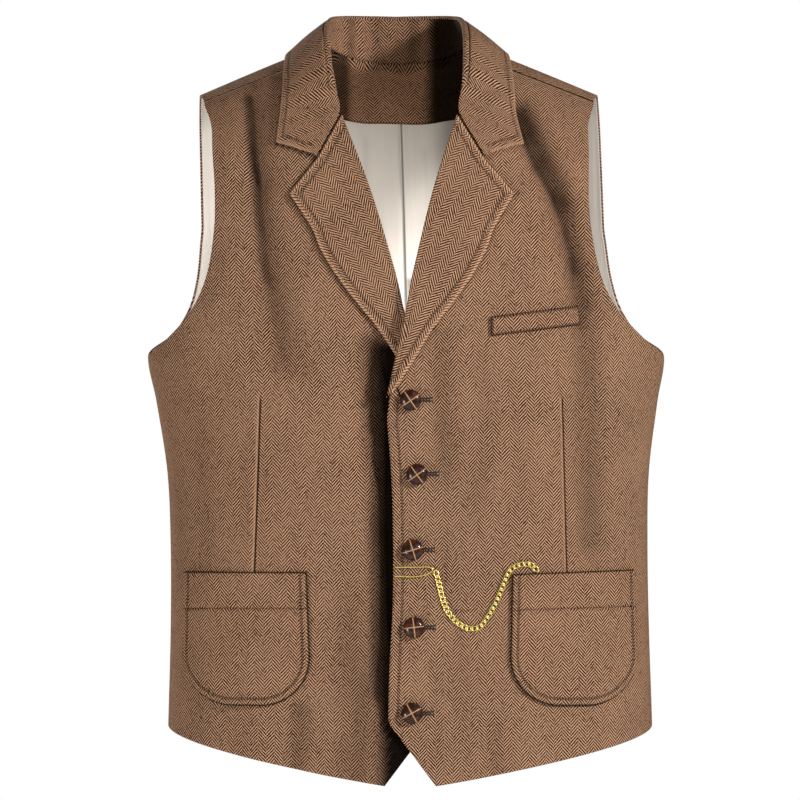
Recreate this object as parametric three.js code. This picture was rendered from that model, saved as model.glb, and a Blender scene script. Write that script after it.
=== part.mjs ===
// Single-breasted herringbone waistcoat with a notched collar, filled out as on a torso.
// Millimetres, +Z up, front towards -Y, wearer's left towards +X, origin between the shoulders.
import * as THREE from 'three';

// Cloth and seams
const CLOTH = 2.0;
const TURNED_CLOTH = 2.2;
const LINING_CLOTH = 1.2;
const SEAM_GAP = 0.3;
const SHOULDER_GAP = 0.7;
const SEAT = 0.95;
const LINING_EASE = 1.8;
const ROLL_EASE = 0.7;
const ROLL_INSET = 2.7;
const ROLL_BULGE = 1.3;
const ROLL_RUN_IN = { low: 15, top: 10, high: 20 };

// Girth sections of the filled-out cloth, lowest first
const ROUNDNESS = 2.5;
const SECTIONS = [
  { z: -640, half: 211, front: 95, back: 90 },
  { z: -559, half: 209, front: 94, back: 89 },
  { z: -472, half: 206.5, front: 92, back: 84 },
  { z: -400, half: 206, front: 91, back: 80 },
  { z: -340, half: 208, front: 94, back: 84 },
  { z: -279, half: 216.5, front: 99, back: 92 },
  { z: -240, half: 223, front: 101, back: 97 },
  { z: -185, half: 214, front: 101, back: 100 },
  { z: -130, half: 207, front: 99, back: 100 },
];

// Shoulders: a dome from the spring level up to the sloping ridge
const SPRING = -130;
const DOME_ARC = 170;
const RIDGE = [
  { x: 0, z: 33 },
  { x: 62, z: 28 },
  { x: 95, z: 16.5 },
  { x: 172, z: -15.5 },
  { x: 230, z: -40 },
];
const SHOULDER_SEAM_DEGREES = 69;
const NET_BEND_POWER = 5;
const LEAN_SLOPE = -0.0213;
const LEAN_CURVE = -3.15e-5;
const CHEST_LEVEL = -240;

// Front panel, a row for each section from hem to shoulder: its front edge or roll line, and its side
const FRONT_ROWS = [
  { edge_x: 22, edge_z: -609.5, side_x: 209, side_z: -559, corner: true },
  { edge_x: -19, edge_z: -555, side_x: 208, side_z: -528, corner: true },
  { edge_x: -17.6, edge_z: -505, side_x: 207, side_z: -490 },
  { edge_x: -14.6, edge_z: -454, side_x: 206.2, side_z: -447 },
  { edge_x: -13.8, edge_z: -400, side_x: 206, side_z: -400 },
  { edge_x: -14.5, edge_z: -345, side_x: 207.5, side_z: -345 },
  { edge_x: -18.5, edge_z: -280, side_x: 216, side_z: -283, corner: true },
  { edge_x: -8.7, edge_z: -240, side_x: 223, side_z: -240, corner: true },
  { edge_x: -1.8, edge_z: -212, side_x: 205, side_z: -225 },
  { edge_x: 3.5, edge_z: -187, side_x: 190, side_z: -209 },
  { edge_x: 10, edge_z: -159, side_x: 178, side_z: -191 },
  { edge_x: 17.5, edge_z: -131, side_x: 168.5, side_z: -166 },
  { edge_x: 26.5, edge_z: -98, side_x: 162.5, side_z: -132 },
  { edge_x: 38, edge_z: -64, side_x: 161, side_z: -99 },
  { edge_x: 49, edge_z: -34, side_x: 162, side_z: -66 },
  { edge_x: 55, edge_z: -10, side_x: 162.5, side_z: -42 },
  { edge_x: 60, edge_z: 16.5, side_x: 168, side_z: -24, corner: true },
];
const FRONT_BREAK_Z = -296;
const HEM_BOW = 4.5;
const FRONT_COLUMNS = 14;
const FRONT_STEPS = 2;

// Back panel, a row for each section from hem to shoulder: centre seam height, and its side.
// Above the underarm its centre heights are spaced evenly up to the neck.
const BACK_ROWS = [
  { centre_z: -563, side_x: 209, side_z: -559, corner: true },
  { centre_z: -512, side_x: 207, side_z: -510 },
  { centre_z: -460, side_x: 206, side_z: -460 },
  { centre_z: -405, side_x: 206, side_z: -405 },
  { centre_z: -350, side_x: 207, side_z: -350 },
  { centre_z: -300, side_x: 213, side_z: -295 },
  { centre_z: -252, side_x: 223, side_z: -240, corner: true },
  { side_x: 207, side_z: -225 },
  { side_x: 191, side_z: -205 },
  { side_x: 181, side_z: -175 },
  { side_x: 176.5, side_z: -140 },
  { side_x: 175, side_z: -99 },
  { side_x: 174.5, side_z: -66 },
  { side_x: 174, side_z: -42 },
  { side_x: 173.2, side_z: -26 },
  { side_x: 172.6, side_z: -18.5 },
  { side_x: 172, side_z: -15.5 },
  { side_x: 170.5, side_z: -16.4, over: true },
  { side_x: 168, side_z: -24, over: true, corner: true },
];
const UNDERARM_ROW = 6;
const BACK_COLUMNS = 12;

// Neckline of the back, and the lower edge of the neck band inside it, from the centre to the shoulder seam
const NECKLINE = [
  { x: 0, z: 12 },
  { x: 24, z: 13.5 },
  { x: 45, z: 18.5 },
  { x: 58, z: 26 },
  { x: 60, z: 18, over: true },
];
const NECKLINE_SHARE = 0.5;
const BAND_EDGE = [
  { x: 0, z: -36 },
  { x: 35, z: -35 },
  { x: 68, z: -24 },
  { x: 92, z: 2 },
  { x: 104, z: 4.5, over: true },
];
const BAND_SHARE = 0.5;
const BAND_STEPS = 6;
const BAND_COLUMNS = 3;
const ARMHOLE_EDGE = 4;
const LINING_HEM = -548;

// Collar, a row for each section from the centre back to the notch: neck seam, fold and outer edge
const COLLAR_ROWS = [
  { seam_x: 0, seam_z: 12, fold_x: 0, fold_y: 48, fold_z: 53, edge_x: 0, edge_z: 3 },
  { seam_x: 26, seam_z: 14, fold_x: 27, fold_y: 45, fold_z: 53.4, edge_x: 37, edge_z: 2 },
  { seam_x: 48, seam_z: 20, fold_x: 47, fold_y: 34, fold_z: 53, edge_x: 69, edge_z: 4 },
  { seam_x: 59.5, seam_z: 27, fold_x: 55.5, fold_y: 6, fold_z: 50, edge_x: 91, edge_z: 14 },
  { seam_x: 60.5, seam_z: 20, fold_x: 58, fold_y: -33, fold_z: 38, edge_x: 97, edge_z: 6, over: true },
  { seam_x: 58, seam_z: 3, fold_x: 57.5, fold_y: -58, fold_z: 17, edge_x: 99, edge_z: -11, over: true },
  { seam_x: 55, seam_z: -13, fold_x: 55.5, fold_y: -71, fold_z: -6, edge_x: 101.5, edge_z: -28, over: true },
  { seam_x: 51.6, seam_z: -33, fold_x: 51, fold_y: -79, fold_z: -32, edge_x: 104, edge_z: -43, over: true },
  { seam_x: 71.4, seam_z: -69.4, fold_x: 71, fold_y: -91, fold_z: -69, edge_x: 106.5, edge_z: -58, over: true },
];
const FLAT_ROW = 7;
const COLLAR_STEPS = 2;
const FALL_COLUMNS = 5;
const FALL_BOW = 5;
const FOLD_RADIUS = 1.75;
const STAND_FOOT = 1.3;
const STAND_TOP_GAP = 0.8;
const STAND_LEAST = 4;
const LIFT = { rows: 1.2, ease: 0.6 };
const HEAD_STEPS = 4;
const HEAD_SHARE = 0.08;

// Lapel, from the roll line to its own edge, a row for each section from the break to the tip
const LAPEL_ROWS = [
  { roll_x: -17.6, roll_z: -276, edge_x: -10.5, edge_z: -270 },
  { roll_x: -10, roll_z: -245, edge_x: 5, edge_z: -247 },
  { roll_x: -3.8, roll_z: -220, edge_x: 24, edge_z: -217 },
  { roll_x: 1.5, roll_z: -198, edge_x: 39, edge_z: -198 },
  { roll_x: 6, roll_z: -175, edge_x: 51, edge_z: -182 },
  { roll_x: 14, roll_z: -144, edge_x: 63, edge_z: -164 },
  { roll_x: 21.5, roll_z: -116, edge_x: 72, edge_z: -147 },
  { roll_x: 32, roll_z: -82, edge_x: 78.5, edge_z: -130 },
  { roll_x: 49, roll_z: -34.5, edge_x: 96, edge_z: -102 },
];
const NOTCH = { x: 70.5, z: -71.5, share: 0.42 };
const LAPEL_COLUMNS = 6;
const LAPEL_STEPS = 2;
const LAPEL_FLAT = { from: 4.5, share: 0.6 };
const NOTCH_POWER = 9;

// Largest folds, a row for each: where it runs on the front, and its width and depth. They fade out
// over a share of the girth before the side seam and over a run below the shoulder seam.
const FOLD_SPREAD = 0.6;
const FOLD_FADE = { side: 0.98, side_share: 0.3, seam_run: 40 };
const FOLDS = [
  { side: -1, x1: 121, z1: -4, x2: 124, z2: -90, width: 26, depth: -3.5 },
  { side: -1, x1: 124, z1: -90, x2: 108, z2: -245, width: 30, depth: -4 },
  { side: 1, x1: 106, z1: -30, x2: 140, z2: -110, width: 24, depth: -5.5 },
  { side: 1, x1: 140, z1: -110, x2: 156, z2: -195, width: 24, depth: -5 },
  { side: 1, x1: 156, z1: -195, x2: 158, z2: -400, width: 30, depth: -4 },
  { side: 1, x1: 112, z1: -235, x2: 104, z2: -405, width: 36, depth: 3.5 },
  { side: 1, x1: 30, z1: -225, x2: 32, z2: -345, width: 26, depth: -3 },
  { side: -1, x1: 29, z1: -232, x2: 26, z2: -330, width: 24, depth: -5.5 },
  { side: -1, x1: 26, z1: -330, x2: 28, z2: -530, width: 20, depth: -4.5 },
  { side: -1, x1: 40, z1: -520, x2: 46, z2: -600, width: 26, depth: -4 },
  { side: -1, x1: 96, z1: -545, x2: 98, z2: -590, width: 20, depth: -3 },
];

// The wearer's left front laps over the right one
const LAP_WIDTH = 70;
const LAP_LIFT = 1.6;
const LAP_SINK = 3.2;
const UNDER_LAPEL = { lift: 5.6, low: -310, high: -150, ease: 24 };

// Pockets, their header bands and the breast welt
const POCKETS = [
  { name: 'left', side: 1, x: 139.5, top: -426, tilt: 0.035 },
  { name: 'right', side: -1, x: 139.5, top: -426, tilt: 0 },
];
const POCKET = { width: 104, low_width: 108, height: 115, corner: 42, band: 31.5, columns: 8 };
const WELT = { x: 112.5, z: -210.5, length: 79, height: 16.5, tilt: 0.126, columns: 6 };

// Buttons, from the top
const BUTTONS = [
  { x: 3, z: -278 },
  { x: 7.5, z: -342 },
  { x: 3, z: -407 },
  { x: 3.4, z: -473.5 },
  { x: 1.3, z: -547 },
];
const BUTTON = { radius: 9.3, height: 9.2, shank: 3, seat: 0.5, stand: 2.2, facets: 16 };
const BUTTON_DOME = [
  { radius: 0.88, height: 0.03 },
  { radius: 1, height: 0.25 },
  { radius: 0.93, height: 0.48 },
  { radius: 0.7, height: 0.68 },
  { radius: 0.36, height: 0.78 },
  { radius: 0, height: 0.8 },
];

// Watch chain on the left front, and the wire hook over the front edge that holds it
const CHAIN_RADIUS = 1.7;
const CHAIN_PATH = [
  { x: 22.6, z: -425.4 },
  { x: 25.5, z: -437 },
  { x: 28, z: -448 },
  { x: 32, z: -459 },
  { x: 39, z: -468 },
  { x: 48, z: -473.6 },
  { x: 55, z: -474.5 },
  { x: 61, z: -472 },
  { x: 67, z: -464 },
  { x: 74, z: -452 },
  { x: 80, z: -438 },
  { x: 85.6, z: -425.4 },
  { x: 93.5, z: -420 },
  { x: 103, z: -419.8 },
  { x: 109.3, z: -424.7 },
];
const CHAIN_STEPS = 26;
const CHAIN_FACETS = 8;
const CHAIN_SEAT = 0.6;
const HOOK_RADIUS = 0.8;
const HOOK_FACETS = 6;
const HOOK_STEPS = 16;
const HOOK_PATH = [
  { x: -12.3, z: -429.5 },
  { x: 10, z: -429.3 },
  { x: 17.5, z: -426.4 },
  { x: 20, z: -423.6 },
  { x: 17.5, z: -421.9 },
  { x: 10, z: -421.7 },
  { x: -12.3, z: -422 },
];

const COLOURS = {
  tweed: { color: 0x7d5a41, roughness: 0.95, metalness: 0 },
  lining: { color: 0xc4beb6, roughness: 0.6, metalness: 0 },
  leather: { color: 0x3c190c, roughness: 0.3, metalness: 0 },
  gold: { color: 0xe0bf4a, roughness: 0.25, metalness: 1 },
};

const vest = new THREE.Group();
const mix = THREE.MathUtils.lerp;
const signedPower = (value, power) => Math.sign(value) * Math.abs(value) ** power;
const ease = (t) => {
  const held = THREE.MathUtils.clamp(t, 0, 1);
  return held * held * (3 - 2 * held);
};

// Value of one column of a table at a place along its key column, straight or eased through the rows
function lookUp(table, key, column, at) {
  let i = 0;
  while (i < table.length - 2 && at > table[i + 1][key]) {
    i += 1;
  }
  const t = (at - table[i][key]) / (table[i + 1][key] - table[i][key]);
  const slope = (k) => {
    const low = table[Math.max(k - 1, 0)];
    const high = table[Math.min(k + 1, table.length - 1)];
    return (high[column] - low[column]) / (high[key] - low[key]) * (table[i + 1][key] - table[i][key]);
  };
  const held = THREE.MathUtils.clamp(t, 0, 1);
  return hermite(table[i][column], table[i + 1][column], slope(i), slope(i + 1), held);
}

function hermite(a, b, slopeA, slopeB, t) {
  const rise = b - a;
  return a + t * slopeA + t * t * (3 * rise - 2 * slopeA - slopeB) + t * t * t * (slopeA + slopeB - 2 * rise);
}

// Smooth run through the rows of a table by row number, sharp at its corner rows
function alongRows(rows, column, at) {
  const i = Math.min(Math.floor(at), rows.length - 2);
  const before = rows[i].corner ? i : Math.max(i - 1, 0);
  const after = rows[i + 1].corner ? i + 1 : Math.min(i + 2, rows.length - 1);
  const slopeA = (rows[i + 1][column] - rows[before][column]) / (i + 1 - before);
  const slopeB = (rows[after][column] - rows[i][column]) / (after - i);
  return hermite(rows[i][column], rows[i + 1][column], slopeA, slopeB, at - i);
}

const section = (z, column) => lookUp(SECTIONS, 'z', column, z);
const ridge = (x) => lookUp(RIDGE, 'x', 'z', Math.abs(x));
const springHalf = section(SPRING, 'half');
const seamUp = (SHOULDER_SEAM_DEGREES / 90) * DOME_ARC;

// A place on the cloth is an angle round the girth, 0 at its own centre and 90 at the side, and a
// height measured along the cloth from the spring level. Facing is -1 in front and 1 at the back.
function bare(facing, { round, up }) {
  const turn = up > 0 ? (up / DOME_ARC) * (Math.PI / 2) : 0;
  const level = Math.min(SPRING + up, SPRING);
  const x = section(level, 'half') * signedPower(Math.sin(round), 2 / ROUNDNESS);
  const z = up > 0 ? SPRING + (ridge(x) - SPRING) * Math.sin(turn) : level;
  const frontal = facing < 0 || turn > Math.PI / 2;
  const depth = section(level, frontal ? 'front' : 'back') * signedPower(Math.cos(round), 2 / ROUNDNESS);
  return new THREE.Vector3(x, facing * depth * Math.cos(turn), z);
}

// The place under a point given by its distance from the centre line and its height
function placeAt(x, z, over = false) {
  if (z <= SPRING) {
    const share = THREE.MathUtils.clamp(x / section(z, 'half'), -1, 1);
    return { round: Math.asin(signedPower(share, ROUNDNESS / 2)), up: z - SPRING };
  }
  const turn = Math.asin(THREE.MathUtils.clamp((z - SPRING) / (ridge(x) - SPRING), 0, 1));
  const up = (turn / (Math.PI / 2)) * DOME_ARC;
  const round = Math.asin(signedPower(x / springHalf, ROUNDNESS / 2));
  return { round, up: over ? 2 * DOME_ARC - up : up };
}

function outward(facing, place) {
  const step = 0.01;
  const rise = 1;
  const across = bare(facing, { round: place.round + step, up: place.up })
    .sub(bare(facing, { round: place.round - step, up: place.up }));
  const upward = bare(facing, { round: place.round, up: place.up + rise })
    .sub(bare(facing, { round: place.round, up: place.up - rise }));
  const normal = across.cross(upward).normalize();
  return facing < 0 ? normal : normal.negate();
}

function foldRelief(side, point) {
  let sum = 0;
  for (const fold of FOLDS.filter((row) => row.side === side)) {
    const run = new THREE.Vector2(fold.x2 - fold.x1, fold.z2 - fold.z1);
    const off = new THREE.Vector2(point.x - fold.x1, point.z - fold.z1);
    const t = THREE.MathUtils.clamp(off.dot(run) / run.lengthSq(), 0, 1);
    const distance = off.sub(run.multiplyScalar(t)).length();
    sum += fold.depth * Math.exp(-((distance / (FOLD_SPREAD * fold.width)) ** 2));
  }
  return sum;
}

// How far the lapped front stands out and the under front sinks, near the centre
function lapRelief(side, point) {
  const near = ease((LAP_WIDTH - point.x) / LAP_WIDTH);
  if (side < 0) {
    return -LAP_SINK * near;
  }
  const { lift, low, high } = UNDER_LAPEL;
  const over = ease((point.z - low) / UNDER_LAPEL.ease) * ease((high - point.z) / UNDER_LAPEL.ease);
  return (LAP_LIFT + lift * over) * near;
}

const leanAt = (z) => LEAN_SLOPE * (z - CHEST_LEVEL) + LEAN_CURVE * (z - CHEST_LEVEL) ** 2;

// Mirrors a point of the wearer's left half to its own side and adds the lean
function worn(side, point) {
  return new THREE.Vector3(point.x * side + leanAt(point.z), point.y, point.z);
}

// Point at a distance outside the cloth
function clothPoint(facing, side, place, out) {
  const base = bare(facing, place);
  const frontal = facing < 0 || place.up > DOME_ARC;
  const fade = ease((FOLD_FADE.side * Math.PI / 2 - Math.abs(place.round)) / FOLD_FADE.side_share);
  const frontUp = facing < 0 ? place.up : 2 * DOME_ARC - place.up;
  const seamFade = ease((seamUp - frontUp) / FOLD_FADE.seam_run);
  const relief = frontal ? (foldRelief(side, base) * seamFade + lapRelief(side, base)) * fade : 0;
  return worn(side, base.add(outward(facing, place).multiplyScalar(out + relief)));
}

const frontPoint = (side, x, z, out) => clothPoint(-1, side, placeAt(x, z), out);

// Closed solid between an outer and an inner skin, given as rows of as many points each
function solidBetween(outer, inner) {
  const width = outer[0].length;
  const size = 2 * width;
  const points = outer.flatMap((row, r) => [...row, ...[...inner[r]].reverse()]);
  const faces = [];
  const addQuad = (a, b, c, d) => {
    if (points[a].distanceTo(points[c]) < points[b].distanceTo(points[d])) {
      faces.push([a, b, c], [a, c, d]);
    } else {
      faces.push([a, b, d], [b, c, d]);
    }
  };
  const last = (outer.length - 1) * size;
  for (let at = 0; at < last; at += size) {
    for (let i = 0; i < size; i += 1) {
      const j = (i + 1) % size;
      addQuad(at + i, at + j, at + size + j, at + size + i);
    }
  }
  for (let i = 0; i + 1 < width; i += 1) {
    const far = size - 1 - i;
    addQuad(far, far - 1, i + 1, i);
    addQuad(last + i, last + i + 1, last + far - 1, last + far);
  }
  const volume = faces.reduce((sum, [a, b, c]) => sum + points[a].dot(points[b].clone().cross(points[c])), 0);
  const facing = volume < 0 ? faces.map(([a, b, c]) => [a, c, b]) : faces;
  const geometry = new THREE.BufferGeometry();
  geometry.setAttribute('position', new THREE.Float32BufferAttribute(points.flatMap((p) => p.toArray()), 3));
  geometry.setIndex(facing.flat());
  return geometry;
}

// Wall over a net of places, between two distances outside the cloth
function wall(net, facing, side, outer, inner) {
  const skin = (out) => net.map((row) => row.map((place) => clothPoint(facing, side, place, out)));
  return solidBetween(skin(outer), skin(inner));
}

function add(name, geometry, finish) {
  const mesh = new THREE.Mesh(geometry, new THREE.MeshStandardMaterial(COLOURS[finish]));
  mesh.name = name;
  vest.add(mesh);
}

// Net of places between an inner and an outer edge, with a bend of the top row and of the bottom row
function netBetween(rowCount, columns, inner, outer, topBend, bottomBend) {
  return Array.from({ length: rowCount + 1 }, (_, r) => {
    const v = r / rowCount;
    const from = inner(v);
    const to = outer(v);
    return Array.from({ length: columns + 1 }, (__, c) => {
      const u = c / columns;
      const top = topBend(u);
      const bottom = bottomBend(u);
      const rise = v ** NET_BEND_POWER;
      const fall = (1 - v) ** NET_BEND_POWER;
      return {
        round: mix(from.round, to.round, u) + top.round * rise + bottom.round * fall,
        up: mix(from.up, to.up, u) + top.up * rise + bottom.up * fall,
      };
    });
  });
}

const NO_BEND = () => ({ round: 0, up: 0 });

// Place on the side seam, half the seam gap in front of or behind it
function sideSeam(z, facing) {
  const depth = section(z, facing < 0 ? 'front' : 'back');
  return { round: Math.acos((0.5 * SEAM_GAP / depth) ** (ROUNDNESS / 2)), up: z - SPRING };
}

function frontNet() {
  const last = FRONT_ROWS.length - 1;
  const edge = (v) => {
    const z = alongRows(FRONT_ROWS, 'edge_z', v * last);
    const { low, top, high } = ROLL_RUN_IN;
    const inset = ROLL_INSET * ease((z - FRONT_BREAK_Z) / low) * ease((top - z) / high);
    const place = placeAt(alongRows(FRONT_ROWS, 'edge_x', v * last) + inset, z);
    return v === 1 ? { round: place.round, up: seamUp - 0.5 * SHOULDER_GAP } : place;
  };
  const side = (v) => {
    const z = alongRows(FRONT_ROWS, 'side_z', v * last);
    const place = z <= CHEST_LEVEL ? sideSeam(z, -1) : placeAt(alongRows(FRONT_ROWS, 'side_x', v * last), z);
    return v === 1 ? { round: place.round, up: seamUp - 0.5 * SHOULDER_GAP } : place;
  };
  const hemBend = (u) => ({ round: 0, up: 4 * HEM_BOW * u * (1 - u) });
  return netBetween(last * FRONT_STEPS, FRONT_COLUMNS, edge, side, NO_BEND, hemBend);
}

// Smooth run through a short table of points, as places, from 0 to 1
function placeAlong(table, t) {
  const places = table.map(({ x, z, over }) => placeAt(x, z, over));
  const at = t * (table.length - 1);
  return { round: alongRows(places, 'round', at), up: alongRows(places, 'up', at) };
}

const backSeamUp = 2 * DOME_ARC - seamUp - 0.5 * SHOULDER_GAP;

// Net of the back or its lining: its top follows a curve at the neck and then the shoulder seam
function backNet({ neck, share, hem, inset }) {
  const last = BACK_ROWS.length - 1;
  const centreTop = placeAlong(neck, 0).up;
  const rows = BACK_ROWS.map((row, i) => {
    const z = Math.max(row.side_z, hem);
    const side = z <= CHEST_LEVEL ? sideSeam(z, 1) : placeAt(row.side_x - inset, z, row.over);
    const low = placeAt(0, Math.max(BACK_ROWS[Math.min(i, UNDERARM_ROW)].centre_z, hem)).up;
    const above = Math.max(i - UNDERARM_ROW, 0) / (last - UNDERARM_ROW);
    return {
      centre_up: mix(low, centreTop, above),
      side_round: side.round,
      side_up: i === last ? backSeamUp : side.up,
      corner: row.corner,
    };
  });
  const centreRound = Math.asin((0.5 * SEAM_GAP / springHalf) ** (ROUNDNESS / 2));
  const centre = (v) => ({ round: centreRound, up: alongRows(rows, 'centre_up', v * last) });
  const side = (v) => ({
    round: alongRows(rows, 'side_round', v * last),
    up: alongRows(rows, 'side_up', v * last),
  });
  const seamFrom = placeAlong(neck, 1);
  const topBend = (u) => {
    const seamShare = (u - share) / (1 - share);
    const alongSeam = mix(seamFrom.round, side(1).round, seamShare);
    const round = seamShare < 0 ? placeAlong(neck, u / share).round : alongSeam;
    const up = u < share - 0.01 ? placeAlong(neck, u / share).up : backSeamUp;
    return {
      round: u === 0 ? 0 : round - mix(centreRound, side(1).round, u),
      up: up - mix(rows[last].centre_up, backSeamUp, u),
    };
  };
  return netBetween(last, BACK_COLUMNS, centre, side, topBend, NO_BEND);
}

// Band inside the back neck, whole across the centre
function neckBand() {
  const skins = { outer: [], inner: [] };
  for (let i = -BAND_STEPS; i <= BAND_STEPS; i += 1) {
    const side = Math.sign(i) || 1;
    const top = placeAlong(NECKLINE, Math.abs(i) / BAND_STEPS);
    const low = placeAlong(BAND_EDGE, Math.abs(i) / BAND_STEPS);
    const end = Math.abs(i) === BAND_STEPS;
    const row = Array.from({ length: BAND_COLUMNS + 1 }, (_, c) => {
      const t = c / BAND_COLUMNS;
      const up = end ? backSeamUp : mix(top.up, low.up, t) + SEAM_GAP * t;
      return { round: mix(top.round, low.round, t), up };
    });
    const skin = (out) => row.map((place) => clothPoint(1, side, place, out));
    skins.outer.push(skin(-CLOTH - LINING_EASE));
    skins.inner.push(skin(-CLOTH - LINING_EASE - LINING_CLOTH));
  }
  return solidBetween(skins.outer, skins.inner);
}

// Sheet of even thickness about a grid of middle points
function sheetAbout(grid, thickness) {
  const held = (i, count) => THREE.MathUtils.clamp(i, 0, count - 1);
  const at = (r, c) => grid[held(r, grid.length)][held(c, grid[0].length)];
  const normals = grid.map((row, r) => row.map((_, c) => {
    const along = at(r + 1, c).clone().sub(at(r - 1, c));
    const across = at(r, c + 1).clone().sub(at(r, c - 1));
    return along.cross(across).normalize();
  }));
  const skin = (half) => {
    return grid.map((row, r) => row.map((p, c) => p.clone().addScaledVector(normals[r][c], half)));
  };
  return solidBetween(skin(0.5 * thickness), skin(-0.5 * thickness));
}

// Collar sections with their seam and edge as places on the cloth
const COLLAR_PLACES = COLLAR_ROWS.map((row) => {
  const seam = placeAt(row.seam_x, row.seam_z, row.over);
  const edge = placeAt(row.edge_x, row.edge_z, row.over);
  return { ...row, seam_round: seam.round, seam_up: seam.up, edge_round: edge.round, edge_up: edge.up };
});

// One collar section: the fall from the turned fold to its edge, and the stand below the fold
function collarSection(at, side) {
  const value = (column) => alongRows(COLLAR_PLACES, column, at);
  const placeOn = (t) => ({
    round: mix(value('seam_round'), value('edge_round'), t),
    up: mix(value('seam_up'), value('edge_up'), t),
  });
  const raised = ease((FLAT_ROW - at) / LIFT.rows);
  const lie = SEAT + 0.5 * TURNED_CLOTH + LIFT.ease * raised;
  const fold = worn(side, new THREE.Vector3(value('fold_x'), value('fold_y'), value('fold_z')));
  const edge = clothPoint(1, side, placeOn(1), lie);
  const away = new THREE.Vector3(edge.x - fold.x, edge.y - fold.y, 0).normalize();
  const head = Array.from({ length: HEAD_STEPS + 1 }, (_, i) => {
    const angle = Math.PI * (1 - i / HEAD_STEPS);
    return fold.clone()
      .addScaledVector(away, FOLD_RADIUS * (1 + Math.cos(angle)))
      .setZ(fold.z + FOLD_RADIUS * (Math.sin(angle) - 1));
  });
  head[0].z -= FOLD_RADIUS;
  const headLying = (i) => clothPoint(1, side, placeOn((HEAD_SHARE * i) / HEAD_STEPS), lie);
  const fall = head.map((p, i) => headLying(i).lerp(p, raised));
  for (let c = 1; c <= FALL_COLUMNS; c += 1) {
    const t = mix(HEAD_SHARE, 1, c / FALL_COLUMNS);
    const hung = head[HEAD_STEPS].clone().lerp(edge, c / FALL_COLUMNS);
    hung.addScaledVector(away, FALL_BOW * 3 * t * (1 - t) * (1 - t));
    hung.z += FALL_BOW * t * (1 - t);
    const lying = clothPoint(1, side, placeOn(t), lie);
    const outer = outward(1, placeOn(t));
    outer.x *= side;
    const clear = Math.max(lying.clone().sub(hung).dot(outer), 0);
    fall.push(lying.lerp(hung.addScaledVector(outer, clear), raised));
  }
  const foot = clothPoint(1, side, placeOn(0), 0);
  foot.z += STAND_FOOT;
  const top = head[0].clone().setZ(head[0].z - STAND_TOP_GAP);
  return { fall, stand: [0, 1 / 3, 2 / 3, 1].map((t) => foot.clone().lerp(top, t)), height: top.z - foot.z };
}

function collarSections() {
  const last = (COLLAR_ROWS.length - 1) * COLLAR_STEPS;
  return Array.from({ length: 2 * last + 1 }, (_, i) => {
    const side = Math.sign(i - last) || 1;
    return collarSection(Math.abs(i - last) / COLLAR_STEPS, side);
  });
}

// Lapel: lies on the front, rolls over its edge and turns down beside it
function lapel(side) {
  const last = LAPEL_ROWS.length - 1;
  const top = SEAT + TURNED_CLOTH;
  const turned = ROLL_INSET - ROLL_EASE;
  const rollOuter = [
    { across: 0.2, out: -CLOTH },
    { across: 0, out: 0.2 * top },
    { across: 0.35, out: top + 0.4 * ROLL_BULGE },
    { across: 1.8, out: top + ROLL_BULGE },
  ];
  const rollInner = [
    { across: turned, out: -CLOTH },
    { across: turned, out: 0.3 * SEAT },
    { across: turned, out: 0.7 * SEAT },
    { across: turned + 0.3, out: SEAT },
  ];
  const skins = { outer: [], inner: [] };
  for (let r = 0; r <= last * LAPEL_STEPS; r += 1) {
    const v = r / (last * LAPEL_STEPS);
    const value = (column) => alongRows(LAPEL_ROWS, column, v * last);
    const from = new THREE.Vector2(value('roll_x'), value('roll_z'));
    const to = new THREE.Vector2(value('edge_x'), value('edge_z'));
    const width = to.distanceTo(from);
    const notch = new THREE.Vector2(NOTCH.x, NOTCH.z)
      .sub(lapelTop(NOTCH.share))
      .multiplyScalar(v ** NOTCH_POWER);
    const spot = ({ across, out }) => {
      const u = across / width;
      const bend = Math.max(Math.min(u / NOTCH.share, (1 - u) / (1 - NOTCH.share)), 0);
      const at = from.clone().lerp(to, u).addScaledVector(notch, bend);
      return frontPoint(side, at.x, at.y, out);
    };
    const flat = Math.min(LAPEL_FLAT.from, LAPEL_FLAT.share * width);
    const columns = (out) => Array.from({ length: LAPEL_COLUMNS + 1 }, (_, c) => ({
      across: mix(flat, width, c / LAPEL_COLUMNS),
      out,
    }));
    skins.outer.push([...rollOuter, ...columns(top)].map(spot));
    skins.inner.push([...rollInner, ...columns(SEAT)].map(spot));
  }
  return solidBetween(skins.outer, skins.inner);
}

// Straight line across the top of the lapel, from the roll line to the tip
function lapelTop(share) {
  const { roll_x: x1, roll_z: z1, edge_x: x2, edge_z: z2 } = LAPEL_ROWS[LAPEL_ROWS.length - 1];
  return new THREE.Vector2(mix(x1, x2, share), mix(z1, z2, share));
}

// Flat piece that lies on the front: rows of points across it, given as x and z
function onFront(side, rows) {
  const skin = (out) => rows.map((row) => row.map(([x, z]) => frontPoint(side, x, z, out)));
  return solidBetween(skin(SEAT + TURNED_CLOTH), skin(SEAT));
}

// Rows of a pocket between two depths below its mouth, narrowing in the round of its lower corners
function pocketRows(pocket, from, to, count) {
  return Array.from({ length: count + 1 }, (_, r) => {
    const below = mix(from, to, Math.sin((r / count) * (Math.PI / 2)) * (to > POCKET.band ? 1 : 0)
      + (to > POCKET.band ? 0 : r / count));
    const full = mix(POCKET.width, POCKET.low_width, Math.min(below / (POCKET.height - POCKET.corner), 1)) / 2;
    const intoCorner = Math.max(below - (POCKET.height - POCKET.corner), 0);
    const round = POCKET.corner - Math.sqrt(Math.max(POCKET.corner ** 2 - intoCorner ** 2, 0));
    const half = full - round;
    return Array.from({ length: POCKET.columns + 1 }, (__, c) => {
      const off = mix(-half, half, c / POCKET.columns);
      return [pocket.x + off, pocket.top - below + pocket.tilt * off * (1 - below / POCKET.height)];
    });
  });
}

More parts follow.
